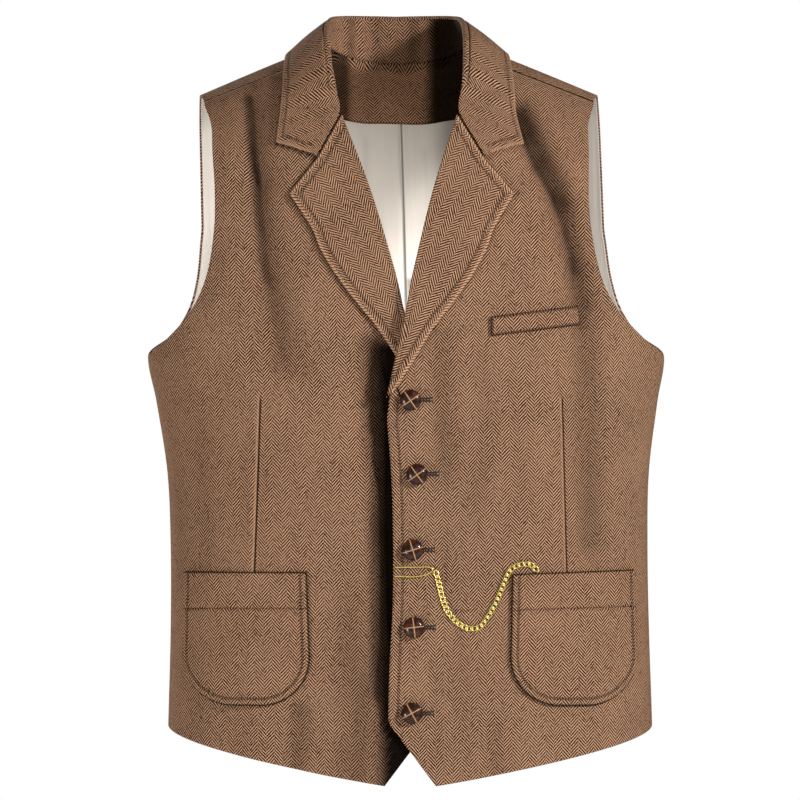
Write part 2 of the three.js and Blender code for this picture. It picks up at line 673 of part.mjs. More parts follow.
function weltRows() {
  return [0, 0.5, 1].map((v) => Array.from({ length: WELT.columns + 1 }, (_, c) => {
    const off = mix(-0.5, 0.5, c / WELT.columns) * WELT.length;
    return [WELT.x + off, WELT.z + WELT.tilt * off + (0.5 - v) * WELT.height];
  }));
}

// Domed button on its shank, set on the built panel at a spot
function button(spot, panel) {
  const { radius, height, shank, seat, stand } = BUTTON;
  const profile = [
    new THREE.Vector2(0, seat),
    new THREE.Vector2(shank, seat),
    new THREE.Vector2(shank, stand),
    ...BUTTON_DOME.map((ring) => new THREE.Vector2(ring.radius * radius, stand + ring.height * height)),
  ];
  const geometry = new THREE.LatheGeometry(profile, BUTTON.facets);
  const above = frontPoint(1, spot.x, spot.z, BUTTON.height);
  const tip = frontPoint(1, spot.x, spot.z, BUTTON.height + 1);
  const inward = above.clone().sub(tip);
  const [hit] = new THREE.Raycaster(above, inward.clone().normalize()).intersectObject(panel);
  const upright = new THREE.Vector3(0, 1, 0);
  geometry.applyQuaternion(new THREE.Quaternion().setFromUnitVectors(upright, inward.negate().normalize()));
  geometry.translate(hit.point.x, hit.point.y, hit.point.z);
  return geometry;
}

// Round wire along points of the left front
function wire(path, radius, facets, steps, out) {
  const points = path.map(({ x, z }) => frontPoint(1, x, z, out));
  const curve = new THREE.CatmullRomCurve3(points, false, 'centripetal');
  const ring = Array.from({ length: facets }, (_, i) => {
    const angle = (i / facets) * 2 * Math.PI;
    return new THREE.Vector2(radius * Math.cos(angle), radius * Math.sin(angle));
  });
  return new THREE.ExtrudeGeometry(new THREE.Shape(ring), { steps, extrudePath: curve, bevelEnabled: false });
}

for (const [name, side] of [['left', 1], ['right', -1]]) {
  add(`front_${name}`, wall(frontNet(), -1, side, 0, -CLOTH), 'tweed');
  const back = backNet({ neck: NECKLINE, share: NECKLINE_SHARE, hem: BACK_ROWS[0].centre_z, inset: 0 });
  add(`back_${name}`, wall(back, 1, side, 0, -CLOTH), 'tweed');
  const lining = backNet({ neck: BAND_EDGE, share: BAND_SHARE, hem: LINING_HEM, inset: ARMHOLE_EDGE });
  const liningOuter = -CLOTH - LINING_EASE;
  add(`back_lining_${name}`, wall(lining, 1, side, liningOuter, liningOuter - LINING_CLOTH), 'lining');
  add(`lapel_${name}`, lapel(side), 'tweed');
}
add('neck_band', neckBand(), 'tweed');
const sections = collarSections();
add('collar', sheetAbout(sections.map(({ fall }) => fall), TURNED_CLOTH), 'tweed');
const standing = sections.filter(({ height }) => height > STAND_LEAST).map(({ stand }) => stand);
add('collar_stand', sheetAbout(standing, TURNED_CLOTH), 'tweed');
for (const pocket of POCKETS) {
  const seam = POCKET.band;
  add(`pocket_band_${pocket.name}`, onFront(pocket.side, pocketRows(pocket, 0, seam - SEAM_GAP, 2)), 'tweed');
  add(`pocket_${pocket.name}`, onFront(pocket.side, pocketRows(pocket, seam, POCKET.height, 9)), 'tweed');
}
add('breast_welt', onFront(1, weltRows()), 'tweed');
const lapped = vest.getObjectByName('front_left');
BUTTONS.forEach((spot, i) => add(`button_${i + 1}`, button(spot, lapped), 'leather'));
const chainOut = CHAIN_SEAT + CHAIN_RADIUS;
add('watch_chain', wire(CHAIN_PATH, CHAIN_RADIUS, CHAIN_FACETS, CHAIN_STEPS, chainOut), 'gold');
add('chain_hook', wire(HOOK_PATH, HOOK_RADIUS, HOOK_FACETS, HOOK_STEPS, SEAT + HOOK_RADIUS), 'gold');

export default vest;
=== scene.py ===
import math

import bmesh
import bpy
import numpy as np
from mathutils import Matrix, Vector


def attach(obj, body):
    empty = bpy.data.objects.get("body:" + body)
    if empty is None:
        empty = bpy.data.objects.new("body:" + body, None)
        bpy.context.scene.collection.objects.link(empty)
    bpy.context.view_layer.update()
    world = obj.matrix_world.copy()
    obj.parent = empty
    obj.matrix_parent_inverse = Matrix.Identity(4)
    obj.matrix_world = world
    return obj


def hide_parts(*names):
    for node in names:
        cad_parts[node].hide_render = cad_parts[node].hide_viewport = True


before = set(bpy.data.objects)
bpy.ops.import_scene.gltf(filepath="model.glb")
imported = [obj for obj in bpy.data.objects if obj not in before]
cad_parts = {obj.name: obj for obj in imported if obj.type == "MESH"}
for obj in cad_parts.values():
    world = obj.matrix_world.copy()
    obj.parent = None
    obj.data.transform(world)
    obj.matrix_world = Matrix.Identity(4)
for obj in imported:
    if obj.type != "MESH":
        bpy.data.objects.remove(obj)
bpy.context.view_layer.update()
bpy.ops.object.select_all(action="DESELECT")

# Camera: level with the middle button and square to the front, as the photograph is taken.
# A long lens well away from it keeps the sides of the garment nearly parallel.
AIM = Vector((-0.0052, -0.05, -0.2786))
DISTANCE, FRAME_WIDTH = 11.0, 0.688
SENSOR_WIDTH, FARTHEST = 36, 60


def add_object(name, data):
    made = bpy.data.objects.new(name, data)
    bpy.context.scene.collection.objects.link(made)
    return made


camera = add_object("camera", bpy.data.cameras.new("camera"))
camera.location = AIM - Vector((0, DISTANCE, 0))
camera.rotation_euler = (math.pi / 2, 0, 0)
camera.data.sensor_width = SENSOR_WIDTH
camera.data.lens = SENSOR_WIDTH * DISTANCE / FRAME_WIDTH
camera.data.clip_end = FARTHEST
bpy.context.scene.camera = camera

# Fronts: two tweed panels, lined inside, each from the pointed hem to the shoulder seam. The front
# edge turns back along the roll line above the top button, the left front laps over the right, and
# darts shape the chest. Both are sewn to the backs down the sides and over the shoulders.

# The cloth hangs on girth sections up to the armholes, then on a dome that closes over the
# shoulders onto their sloping ridge. A place on it is an angle round the girth, 0 at the centre of
# the front or back, and a height measured along the cloth. Millimetres up to each mesh.
ROUNDNESS = 2.5
SECTIONS = np.array([  # height, half width, depth in front, depth behind
    (-640, 211, 95, 90), (-559, 209, 94, 89), (-472, 206.5, 92, 84), (-400, 206, 91, 80),
    (-340, 208, 94, 84), (-279, 216.5, 99, 92), (-240, 223, 101, 97), (-185, 214, 101, 100),
    (-130, 207, 99, 100)], float)
HALF_WIDTH, FRONT_DEPTH, BACK_DEPTH = 1, 2, 3  # columns of the sections
SPRING, DOME = -130.0, 170.0
RIDGE = np.array([(0, 33), (62, 28), (95, 16.5), (172, -15.5), (230, -40)], float)
SEAM_UP = 69 / 90 * DOME  # the shoulder seam, a little in front of the ridge
CHEST_LEVEL = -240.0
QUARTER = math.pi / 2


def mix(a, b, t):
    return a + (b - a) * t


def ease(t):
    held = np.clip(t, 0, 1)
    return held * held * (3 - 2 * held)


def signed_power(value, power):
    return np.sign(value) * np.abs(value) ** power


def hermite(a, b, slope_a, slope_b, t):
    rise = b - a
    bend = t * t * (3 * rise - 2 * slope_a - slope_b)
    return a + t * slope_a + bend + t ** 3 * (slope_a + slope_b - 2 * rise)


def look_up(keys, values, at):
    """A column of a table at places along its key column, eased through the rows."""
    last = len(keys) - 1
    low, high = np.maximum(np.arange(last + 1) - 1, 0), np.minimum(np.arange(last + 1) + 1, last)
    slope = (values[high] - values[low]) / (keys[high] - keys[low])
    i = np.clip(np.searchsorted(keys, at, side="left") - 1, 0, last - 1)
    span = keys[i + 1] - keys[i]
    t = np.clip((at - keys[i]) / span, 0, 1)
    return hermite(values[i], values[i + 1], slope[i] * span, slope[i + 1] * span, t)


def along_rows(rows, at, corners=()):
    """All columns of a table at row numbers, smooth through the rows and sharp at its corner rows."""
    rows, at = np.asarray(rows, float), np.asarray(at, float)
    last = len(rows) - 1
    sharp = np.zeros(last + 1, bool)
    sharp[[c % (last + 1) for c in corners]] = True
    i = np.clip(np.floor(at).astype(int), 0, last - 1)
    before = np.where(sharp[i], i, np.maximum(i - 1, 0))
    after = np.where(sharp[i + 1], i + 1, np.minimum(i + 2, last))
    slope_a = (rows[i + 1] - rows[before]) / (i + 1 - before)[..., None]
    slope_b = (rows[after] - rows[i]) / (after - i)[..., None]
    return hermite(rows[i], rows[i + 1], slope_a, slope_b, (at - i)[..., None])


def section(z, column):
    return look_up(SECTIONS[:, 0], SECTIONS[:, column], z)


def crest_at(x):
    return look_up(RIDGE[:, 0], RIDGE[:, 1], np.abs(x))


def bare(facing, place):
    """Points of the bare form: facing is -1 in front and 1 behind."""
    around, up = place[..., 0], place[..., 1]
    turn = np.where(up > 0, up / DOME * QUARTER, 0)
    level = np.minimum(SPRING + up, SPRING)
    x = section(level, HALF_WIDTH) * signed_power(np.sin(around), 2 / ROUNDNESS)
    z = np.where(up > 0, SPRING + (crest_at(x) - SPRING) * np.sin(turn), level)
    frontal = (facing < 0) | (turn > QUARTER)
    deep = np.where(frontal, section(level, FRONT_DEPTH), section(level, BACK_DEPTH))
    depth = deep * signed_power(np.cos(around), 2 / ROUNDNESS)
    return np.stack([x, facing * depth * np.cos(turn), z], -1)


def place_at(x, z, over=False):
    """The place over a point given by its distance from the centre line and its height."""
    x, z = np.broadcast_arrays(np.asarray(x, float), np.asarray(z, float))
    share = np.clip(x / section(np.minimum(z, SPRING), HALF_WIDTH), -1, 1)
    up = np.arcsin(np.clip((z - SPRING) / (crest_at(x) - SPRING), 0, 1)) / QUARTER * DOME
    up = np.where(z <= SPRING, z - SPRING, np.where(over, 2 * DOME - up, up))
    return np.stack([np.arcsin(signed_power(share, ROUNDNESS / 2)), up], -1)


def outward(facing, place):
    across = bare(facing, place + (0.01, 0)) - bare(facing, place - (0.01, 0))
    rise = bare(facing, place + (0, 1)) - bare(facing, place - (0, 1))
    normal = np.cross(across, rise)
    return -facing * normal / np.linalg.norm(normal, axis=-1, keepdims=True)


# The cloth drags from the shoulders to the chest, hollows beside the lapped edge and falls in soft
# flutes at the hem. A row is a trough or a ridge: side, where it runs, width, depth.
FOLDS = [
    (-1, 121, -4, 124, -90, 26, -3.5), (-1, 124, -90, 108, -245, 30, -4),
    (1, 106, -30, 140, -110, 24, -5.5), (1, 140, -110, 156, -195, 24, -5),
    (1, 156, -195, 158, -400, 30, -4), (1, 112, -235, 104, -405, 36, 3.5),
    (1, 30, -225, 32, -345, 26, -3), (-1, 29, -232, 26, -330, 24, -5.5),
    (-1, 26, -330, 28, -530, 20, -4.5), (-1, 40, -520, 46, -600, 26, -4),
    (-1, 96, -545, 98, -590, 20, -3),
    # The same troughs where they are sharpest
    (-1, 22, -236, 21, -345, 13, -3.2), (-1, 21, -345, 20, -560, 11, -2.6),
    (1, 27, -245, 30, -330, 12, -1.6),
    # Narrower creases within them
    (-1, 130, -18, 127, -89, 11, -2.8), (-1, 127, -89, 119, -176, 12, -2.8),
    (-1, 119, -176, 107, -240, 12, -2.0), (-1, 146, -150, 165, -200, 14, 1.4),
    (-1, 88, -190, 74, -260, 16, 1.6), (-1, 60, -250, 52, -400, 18, 1.2),
    (1, 100, -29, 118, -75, 12, -3.0), (1, 118, -75, 138, -112, 12, -3.2),
    (1, 138, -112, 150, -168, 12, -3.2), (1, 150, -168, 153, -215, 12, -2.4),
    (1, 153, -215, 150, -300, 12, -1.2), (1, 172, -240, 176, -330, 16, 1.2),
    (1, 150, -330, 160, -420, 14, -1.3), (1, 66, -290, 60, -400, 16, -1.1),
    (1, 30, -400, 46, -520, 16, -1.3), (1, 72, -556, 74, -596, 14, -1.5),
    (1, 20, -500, 26, -590, 12, -1.0), (-1, 66, -540, 70, -600, 12, 1.3),
    (-1, 130, -552, 134, -585, 14, 1.2), (-1, 180, -300, 176, -420, 16, -1.2),
]
# The second number is the trough width at which painted shade is as strong as the trough is deep.
FOLD_SPREAD, SHADE_WIDTH = 0.6, 14
LAP_WIDTH, LAP_LIFT, LAP_SINK = 70.0, 1.6, 3.2
UNDER_LAPEL = {"lift": 5.6, "low": -310.0, "high": -150.0, "ease": 24.0}
LEAN, LEAN_BEND = 0.0213, 3.15e-5
FADE = {"side": 0.3, "seam": 40.0, "ridge": 60.0}  # an angle, then two lengths


def fold_relief(rows, side, x, z, taper=0):
    relief = np.zeros(np.shape(x))
    for of_side, x1, z1, x2, z2, width, depth in rows:
        if of_side not in (0, side):
            continue
        run = np.array([x2 - x1, z2 - z1], float)
        t = np.clip(((x - x1) * run[0] + (z - z1) * run[1]) / run.dot(run), 0, 1)
        distance = np.hypot(x - x1 - t * run[0], z - z1 - t * run[1])
        shape = np.exp(-(distance / (FOLD_SPREAD * width)) ** 2)
        relief = relief + depth * shape * (1 - taper * (2 * t - 1) ** 2)
    return relief


def deepest(rows, side, x, z, taper=0):
    """How strong the painted shade of the deepest trough at a point is: a narrow one more than a wide one."""
    found = [fold_relief([row], side, x, z, taper) * SHADE_WIDTH / row[5] for row in rows]
    return -np.minimum(np.min(found, axis=0), 0)


def lap_relief(side, x, z):
    near = ease((LAP_WIDTH - x) / LAP_WIDTH)
    if side < 0:
        return -LAP_SINK * near
    above, below = z - UNDER_LAPEL["low"], UNDER_LAPEL["high"] - z
    over = ease(above / UNDER_LAPEL["ease"]) * ease(below / UNDER_LAPEL["ease"])
    return (LAP_LIFT + UNDER_LAPEL["lift"] * over) * near


def worn(side, point):
    """A point of the wearer's left half moved to its own side, with the lean that the garment hangs at."""
    z = point[..., 2]
    lean = -LEAN * (z - CHEST_LEVEL) - LEAN_BEND * (z - CHEST_LEVEL) ** 2
    return np.stack([point[..., 0] * side + lean, point[..., 1], z], -1)


def cloth_point(facing, side, place, out):
    """Points at a distance outside the folded cloth."""
    base = bare(facing, place)
    x, z = base[..., 0], base[..., 2]
    up = place[..., 1]
    fade = ease((0.98 * QUARTER - np.abs(place[..., 0])) / FADE["side"])
    front_up = up if facing < 0 else 2 * DOME - up
    seam_fade = ease((SEAM_UP - front_up) / FADE["seam"])
    lift = (fold_relief(FOLDS, side, x, z) * seam_fade + lap_relief(side, x, z)) * fade
    if facing > 0:
        behind = fold_relief(BACK_FOLDS, side, x, z) * fade * ease((DOME - up) / FADE["ridge"])
        lift = np.where(up > DOME, lift, behind)
    return worn(side, base + outward(facing, place) * (out + lift)[..., None])


# A table of how far along the cloth each place is, round and up, so that the weave and the seams
# are measured on the cloth itself, as a cutter does.
MEASURE_AROUND = np.linspace(0, QUARTER, 121)
MEASURE_UP = np.linspace(-520, 2 * DOME, 345)


def reach(points, axis=0):
    """How far along its line each point is."""
    step = np.linalg.norm(np.diff(points, axis=axis), axis=-1)
    start = np.zeros_like(np.take(step, [0], axis))
    return np.concatenate([start, np.cumsum(step, axis)], axis)


def measure(facing):
    grid = bare(facing, np.stack(np.meshgrid(MEASURE_AROUND, MEASURE_UP, indexing="ij"), -1))
    across, along = reach(grid, 0), reach(grid, 1)
    level = np.argmin(np.abs(MEASURE_UP))
    return np.stack([across, along - along[:, level:level + 1] + SPRING], -1)


MEASURED = {-1: measure(-1), 1: measure(1)}


def on_cloth(facing, side, place):
    """Distances across and up the cloth, in millimetres."""
    a = np.clip(np.abs(place[..., 0]) / QUARTER * (len(MEASURE_AROUND) - 1), 0, len(MEASURE_AROUND) - 1.001)
    b = (place[..., 1] - MEASURE_UP[0]) / (MEASURE_UP[-1] - MEASURE_UP[0]) * (len(MEASURE_UP) - 1)
    b = np.clip(b, 0, len(MEASURE_UP) - 1.001)
    i, j = np.floor(a).astype(int), np.floor(b).astype(int)
    s, t = (a - i)[..., None], (b - j)[..., None]
    table = MEASURED[facing]
    found = mix(mix(table[i, j], table[i + 1, j], s), mix(table[i, j + 1], table[i + 1, j + 1], s), t)
    return found * np.stack([np.where(place[..., 0] < 0, -side, side), np.ones(np.shape(a))], -1)


def edge_map(points, line):
    """How far along a line on the cloth each point is, and how far from it."""
    line = np.asarray(line, float)
    run = np.diff(line, axis=0)
    length = np.linalg.norm(run, axis=-1)
    start = np.concatenate([[0], np.cumsum(length)])[:-1]
    flat = points.reshape(-1, 1, 2) - line[None, :-1]
    t = np.clip((flat * run).sum(-1) / np.maximum(length, 1e-9) ** 2, 0, 1)
    distance = np.linalg.norm(flat - run * t[..., None], axis=-1)
    nearest = distance.argmin(1)
    rows = np.arange(len(nearest))
    found = np.stack([start[nearest] + t[rows, nearest] * length[nearest], distance[rows, nearest]], -1)
    return found.reshape(points.shape)


def nearest_of(weave, *lines):
    """How far each point is from the nearest of some lines on the cloth."""
    return np.min([edge_map(weave, line)[..., 1] for line in lines], axis=0)


def mark(piece, slot, *nodes):
    """Fixes a finished piece to the one body and hides the nodes that it takes the place of."""
    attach(piece, "root")
    if nodes:
        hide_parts(*nodes)
    return piece


def shell(name, outer, inner, weave, edge, looks, slot, node, inner_look=0, more=None):
    """A wall of cloth: an outer and an inner skin of as many points each, joined by a rim. It carries
    maps of where each point lies in the weave and how far it is from the finished edge."""
    rows, columns = outer.shape[:2]
    count = rows * columns
    points = np.concatenate([outer.reshape(-1, 3), inner.reshape(-1, 3)]) / 1000
    index = np.arange(count).reshape(rows, columns)
    a, b, c, d = index[:-1, :-1], index[:-1, 1:], index[1:, 1:], index[1:, :-1]
    top = np.stack([a, b, c, d], -1).reshape(-1, 4)
    low = np.stack([a, d, c, b], -1).reshape(-1, 4) + count
    rim = np.concatenate([index[0, :-1], index[:-1, -1], index[-1, :0:-1], index[:0:-1, 0]])
    after = np.roll(rim, -1)
    side = np.stack([after, rim, rim + count, after + count], -1)
    faces = np.concatenate([top, low, side])
    first, *others = points[faces].swapaxes(0, 1)
    volume = sum((np.cross(others[k] - first, others[k + 1] - first) * first).sum() for k in (0, 1))
    if volume < 0:
        faces = faces[:, ::-1]
    mesh = bpy.data.meshes.new(name)
    mesh.from_pydata(points.tolist(), [], faces.tolist())
    maps = {"Weave": weave, "Edge": edge} | (more or {})
    for title, flat in maps.items():
        layer = mesh.uv_layers.new(name=title)
        layer.data.foreach_set("uv", (flat.reshape(-1, 2)[faces.reshape(-1) % count] / 1000).ravel())
    mesh.polygons.foreach_set("use_smooth", np.ones(len(faces), bool))
    kind = np.zeros(len(faces), int)
    kind[len(top):len(top) + len(low)] = inner_look
    mesh.polygons.foreach_set("material_index", kind)
    for look in looks:
        mesh.materials.append(look)
    mesh.update()
    return mark(add_object(name, mesh), slot, node)


def rounding(distance, radius):
    """How far a skin is drawn in, at a distance from the cloth's edge, to round that edge."""
    return radius - np.sqrt(np.maximum(radius ** 2 - np.maximum(radius - distance, 0) ** 2, 0))


LEAST_FILLED = 0.31  # how much of its flat size's box a piece fills at least


def declare_cloth(points):
    """Works out the size and area of a piece from the grid of its points, one layer, and does nothing with
    them.
    """
    across = reach(points, 1)[:, -1].max() / 1000
    along = reach(points, 0)[-1].max() / 1000
    first, second = points[1:, 1:] - points[:-1, :-1], points[1:, :-1] - points[:-1, 1:]
    area = 0.5 * np.linalg.norm(np.cross(first, second), axis=-1).sum() / 1e6
    area = min(max(area, LEAST_FILLED * across * along), across * along)


class Value:
    """One socket of a material, with shader maths as Python."""

    def __init__(self, tree, socket=None):
        self.tree, self.socket = tree, socket

    def node(self, kind, settings=None, sockets=None, out=0):
        made = self.tree.nodes.new("ShaderNode" + kind)
        for key, setting in (settings or {}).items():
            setattr(made, key, setting)
        for key, value in (sockets or {}).items():
            if isinstance(value, Value):
                self.tree.links.new(value.socket, made.inputs[key])
            else:
                made.inputs[key].default_value = value
        return Value(self.tree, made.outputs[out])

    def maths(self, operation, *others):
        return self.node("Math", {"operation": operation}, dict(enumerate((self, *others))))

    def __add__(self, other):
        return self.maths("ADD", other)

    def __sub__(self, other):
        return self.maths("SUBTRACT", other)

    def __rsub__(self, other):
        return self * -1.0 + other

    def __mul__(self, other):
        return self.maths("MULTIPLY", other)

    def __truediv__(self, other):
        return self.maths("DIVIDE", other)

    def between(self, low, high):
        """1 above high and 0 below low, eased."""
        sockets = {"Value": self, "From Min": low, "From Max": high}
        return self.node("MapRange", {"interpolation_type": "SMOOTHSTEP"}, sockets)

    def wave(self):
        """From 0 to 1 and back, once in each whole number."""
        return (self * (2 * math.pi)).maths("SINE") * 0.5 + 0.5

    def blend(self, first, second):
        """First colour at 0 and second at 1."""
        return self.node("Mix", {"data_type": "RGBA"}, {0: self, 6: first, 7: second}, 2)

    def bump(self, strength, distance):
        return self.node("Bump", None, {"Strength": strength, "Distance": distance, "Height": self})

    def noise(self, scale, detail=2.0):
        """Soft noise that stays with the object."""
        place = self.node("TexCoord", None, None, 3)
        return self.node("TexNoise", None, {"Vector": place, "Scale": scale, "Detail": detail})

    def map_parts(self, title):
        """The two numbers of a map that a piece carries, in metres."""
        first = self.node("SeparateXYZ", None, {0: self.node("UVMap", {"uv_map": title})})
        return first, Value(self.tree, first.socket.node.outputs[1])


def colour(red, green, blue):
    """A colour given as it looks on a screen, 0 to 255."""
    shares = [c / 255 for c in (red, green, blue)]
    return tuple(c / 12.92 if c < 0.04045 else ((c + 0.055) / 1.055) ** 2.4 for c in shares) + (1.0,)


def shade_of(tone, share):
    return tuple(share * c for c in tone[:3]) + (1.0,)


def finish(name, constants):
    """A new material with its constant sockets set; returns it, its shader node and a Value to build on."""
    material = bpy.data.materials.new(name)
    material.use_nodes = True
    shader = material.node_tree.nodes["Principled BSDF"]
    for key, setting in constants.items():
        shader.inputs[key].default_value = setting
    return material, shader, Value(material.node_tree)


def connect(tree, shader, **values):
    for key, value in values.items():
        tree.links.new(value.socket, shader.inputs[key.replace("_", " ")])


# Tweed: a woollen cloth woven in a vertical herringbone of brown and tan yarns, with slubs and a
# faint nap. Rows of topstitching run inside its finished edges.
STRIPE, PITCH, TWILL_RISE = 7.3e-3, 2.95e-3, 1.1
STITCH_LENGTH, WHIP_LENGTH = 2.6e-3, 3.1e-3
LIGHT_YARN, DARK_YARN = colour(196, 151, 119), colour(17, 9, 5)


def topstitched(base, face, height, stitch, groove_shade, cord, rim_shadow):
    """A row of stitches in a groove with painted shade in it; cord is the strength of a whipped rim, and the
    last argument the strength of a painted shadow along a sewn-down rim.
    """
    along, inside = base.map_parts("Edge")
    off = (inside - stitch).maths("ABSOLUTE")
    groove = 1.0 - off.between(0.0003, 0.0019)
    beat = (along / STITCH_LENGTH).maths("FRACT")
    thread = (1.0 - off.between(0.0002, 0.0006)) * beat.between(0.24, 0.34)
    thread = thread * (1.0 - beat.between(0.86, 0.98))
    pricked = 1.0 - off.between(0.0003, 0.0008)
    if cord:
        whipped = (1.0 - inside.between(0.0019, 0.0027)) * cord
        twist = ((along + inside * 1.1) / WHIP_LENGTH).maths("FRACT")
        face = whipped.blend(face, shade_of(LIGHT_YARN, 1.25))
        face = (whipped * (1.0 - twist.between(0.38, 0.56)) * 0.95).blend(face, DARK_YARN)
    # A painted shadow along a sewn-down rim.
    if rim_shadow:
        rim, _ = base.map_parts("Rim")
        seam_band = 1.0 - rim.between(0.0006, 0.0019)
        face = (seam_band * rim_shadow).blend(face, shade_of(DARK_YARN, 0.1))
    # Painted shade in the groove, and dark holes between the stitches.
    face = (groove * groove_shade + pricked * (1.0 - thread) * 0.6).blend(face, shade_of(DARK_YARN, 0.3))
    face = (thread * 0.35).blend(face, LIGHT_YARN)
    return face, height - groove * 1.1 + thread * 0.7


def seam_sunk(base, face, height):
    """A seam as a dark crack, with the cloth rolled up on one side of it and a painted highlight on the roll.
    """
    beside, there = base.map_parts("Seam")
    there = there * 1000.0
    crack = (1.0 - beside.maths("ABSOLUTE").between(0.0003, 0.0013)) * there
    face = (crack * 0.92).blend(face, shade_of(DARK_YARN, 0.16))
    # A painted highlight on the rolled cloth beside the seam.
    roll = beside.between(-0.0034, -0.0012) * (1.0 - beside.between(-0.0008, -0.0002)) * there
    face = (roll * 0.45).blend(face, LIGHT_YARN)
    return face, height - crack * 3.0 + roll * 1.2


def paint_shade(base, face, cloudy):
    """Painted shade in creases, and painted shadows beside overlapping parts and inside the neck."""
    crease_shade, cast_shadow = base.map_parts("PaintedShade")
    face = (crease_shade.between(0.0002, 0.0046) * (cloudy * 1.3 + 0.25)).blend(face, shade_of(DARK_YARN, 0.2))
    return (cast_shadow * 980.0).blend(face, shade_of(DARK_YARN, 0.08))


def tweed(name, stitch=None, seamed=False, rim_shadow=0.0, groove_shade=0.4, cord=0.0, shaded=False):
    """Herringbone tweed; stitch is how far the topstitching is inside the edge, in metres."""
    material, shader, base = finish(name, {"Roughness": 0.92, "Specular IOR Level": 0.03})
    across, up = base.map_parts("Weave")
    uneven, fuzz = base.noise(160.0), base.noise(900.0, 3.0)
    slub, cloudy = base.noise(380.0, 1.0), base.noise(22.0)
    stripe = across / STRIPE
    odd = stripe.maths("FLOOR").maths("FLOORED_MODULO", 2.0)
    climb = stripe.maths("PINGPONG", 1.0) * (STRIPE * TWILL_RISE / PITCH)
    line = (up / PITCH + climb + odd * 0.5 + uneven * 0.5).wave()
    yarn = (up / PITCH * 3.1 - climb * 1.9 + fuzz * 1.4).wave()
    shade = line.between(0.42, 0.8) * (slub * 2.2) + (fuzz - 0.5) * 0.8 + (cloudy - 0.5) * 0.3 + yarn * 0.06
    face = shade.node("Clamp", None, {0: shade}).blend(DARK_YARN, LIGHT_YARN)
    height = line * 0.55 + fuzz * 0.35 + yarn * 0.12
    if stitch is not None:
        face, height = topstitched(base, face, height, stitch, groove_shade, cord, rim_shadow)
    if seamed:
        face, height = seam_sunk(base, face, height)
    # Shaded cloth gets painted shade in its creases and painted shadows beside other parts.
    if shaded:
        face = paint_shade(base, face, cloudy)
    connect(base.tree, shader, Base_Color=face, Normal=height.bump(0.55, 0.0009))
    return material


# The lining is a smooth satin, warm pale grey, with a soft sheen and fine upright rumples.
PALE_GREY = colour(216, 208, 198)
WEFT, RUMPLES = 0.9e-3, (150.0, 7.0, 1.0)


def satin(name, joined=False):
    """Satin; joined cloth has a pressed seam down its centre, and painted shade along creases and high in the
    armholes.
    """
    constants = {"Roughness": 0.42, "Sheen Weight": 0.15, "Specular IOR Level": 0.4}
    material, shader, base = finish(name, constants)
    across, up = base.map_parts("Weave")
    spot = base.node("UVMap", {"uv_map": "Weave"})
    stretched = base.node("Mapping", None, {"Vector": spot, "Scale": RUMPLES})
    rumple = base.node("TexNoise", None, {"Vector": stretched, "Scale": 1.0, "Detail": 3.0})
    weft = (up / WEFT).wave()
    face = (rumple * 0.5 + weft * 0.12 + 0.2).blend(shade_of(PALE_GREY, 0.8), PALE_GREY)
    if joined:
        crack = 1.0 - (across - 0.001).maths("ABSOLUTE").between(0.0003, 0.0011)
        face = (crack * 0.85).blend(face, shade_of(PALE_GREY, 0.12))
        painted_shade, _ = base.map_parts("PaintedShade")
        face = (painted_shade * 1000.0).blend(face, shade_of(PALE_GREY, 0.1))
    connect(base.tree, shader, Base_Color=face, Normal=(rumple + weft * 0.05).bump(0.4, 0.0016))
    return material


body_tweed = tweed("tweed_body", stitch=0.0083, seamed=True, shaded=True)
lining_satin = satin("lining_satin")
FRONT_ROWS = np.array([  # front edge or roll line, then side
    (22, -609.5, 209, -559), (-19, -555, 208, -528), (-17.6, -505, 207, -490), (-14.6, -454, 206.2, -447),
    (-13.8, -400, 206, -400), (-14.5, -345, 207.5, -345), (-18.5, -280, 216, -283), (-8.7, -240, 223, -240),
    (-1.8, -212, 205, -225), (3.5, -187, 190, -209), (10, -159, 178, -191), (17.5, -131, 168.5, -166),
    (26.5, -98, 162.5, -132), (38, -64, 161, -99), (49, -34, 162, -66), (55, -10, 162.5, -42),
    (60, 16.5, 168, -24)], float)
FRONT_CORNERS = (0, 1, 6, 7, 16)
POINT_ROW, ROLL_ROW, ARM_ROW = 1, 6.2, 6.6  # where the edge, the roll line and the armhole start
FRONT_LENGTH, FRONT_WIDTH = 620, 210
CLOTH, CLOTH_RADIUS = 2.0, 0.9
JOIN_GAP = 0.05
ROLL_INSET, ROLL_LOW, ROLL_HIGH = 2.7, -296, 10
HEM_BOW = 4.5
TUCKED = np.array([  # the line in which the lapel and the collar lie on the front, along which a painted shadow falls
    (5, -247), (24, -217), (39, -198), (51, -182), (63, -164), (72, -147), (78.5, -130), (96, -102),
    (70.5, -71.5), (106.5, -58), (104, -43), (101.5, -28), (99, -11)], float)
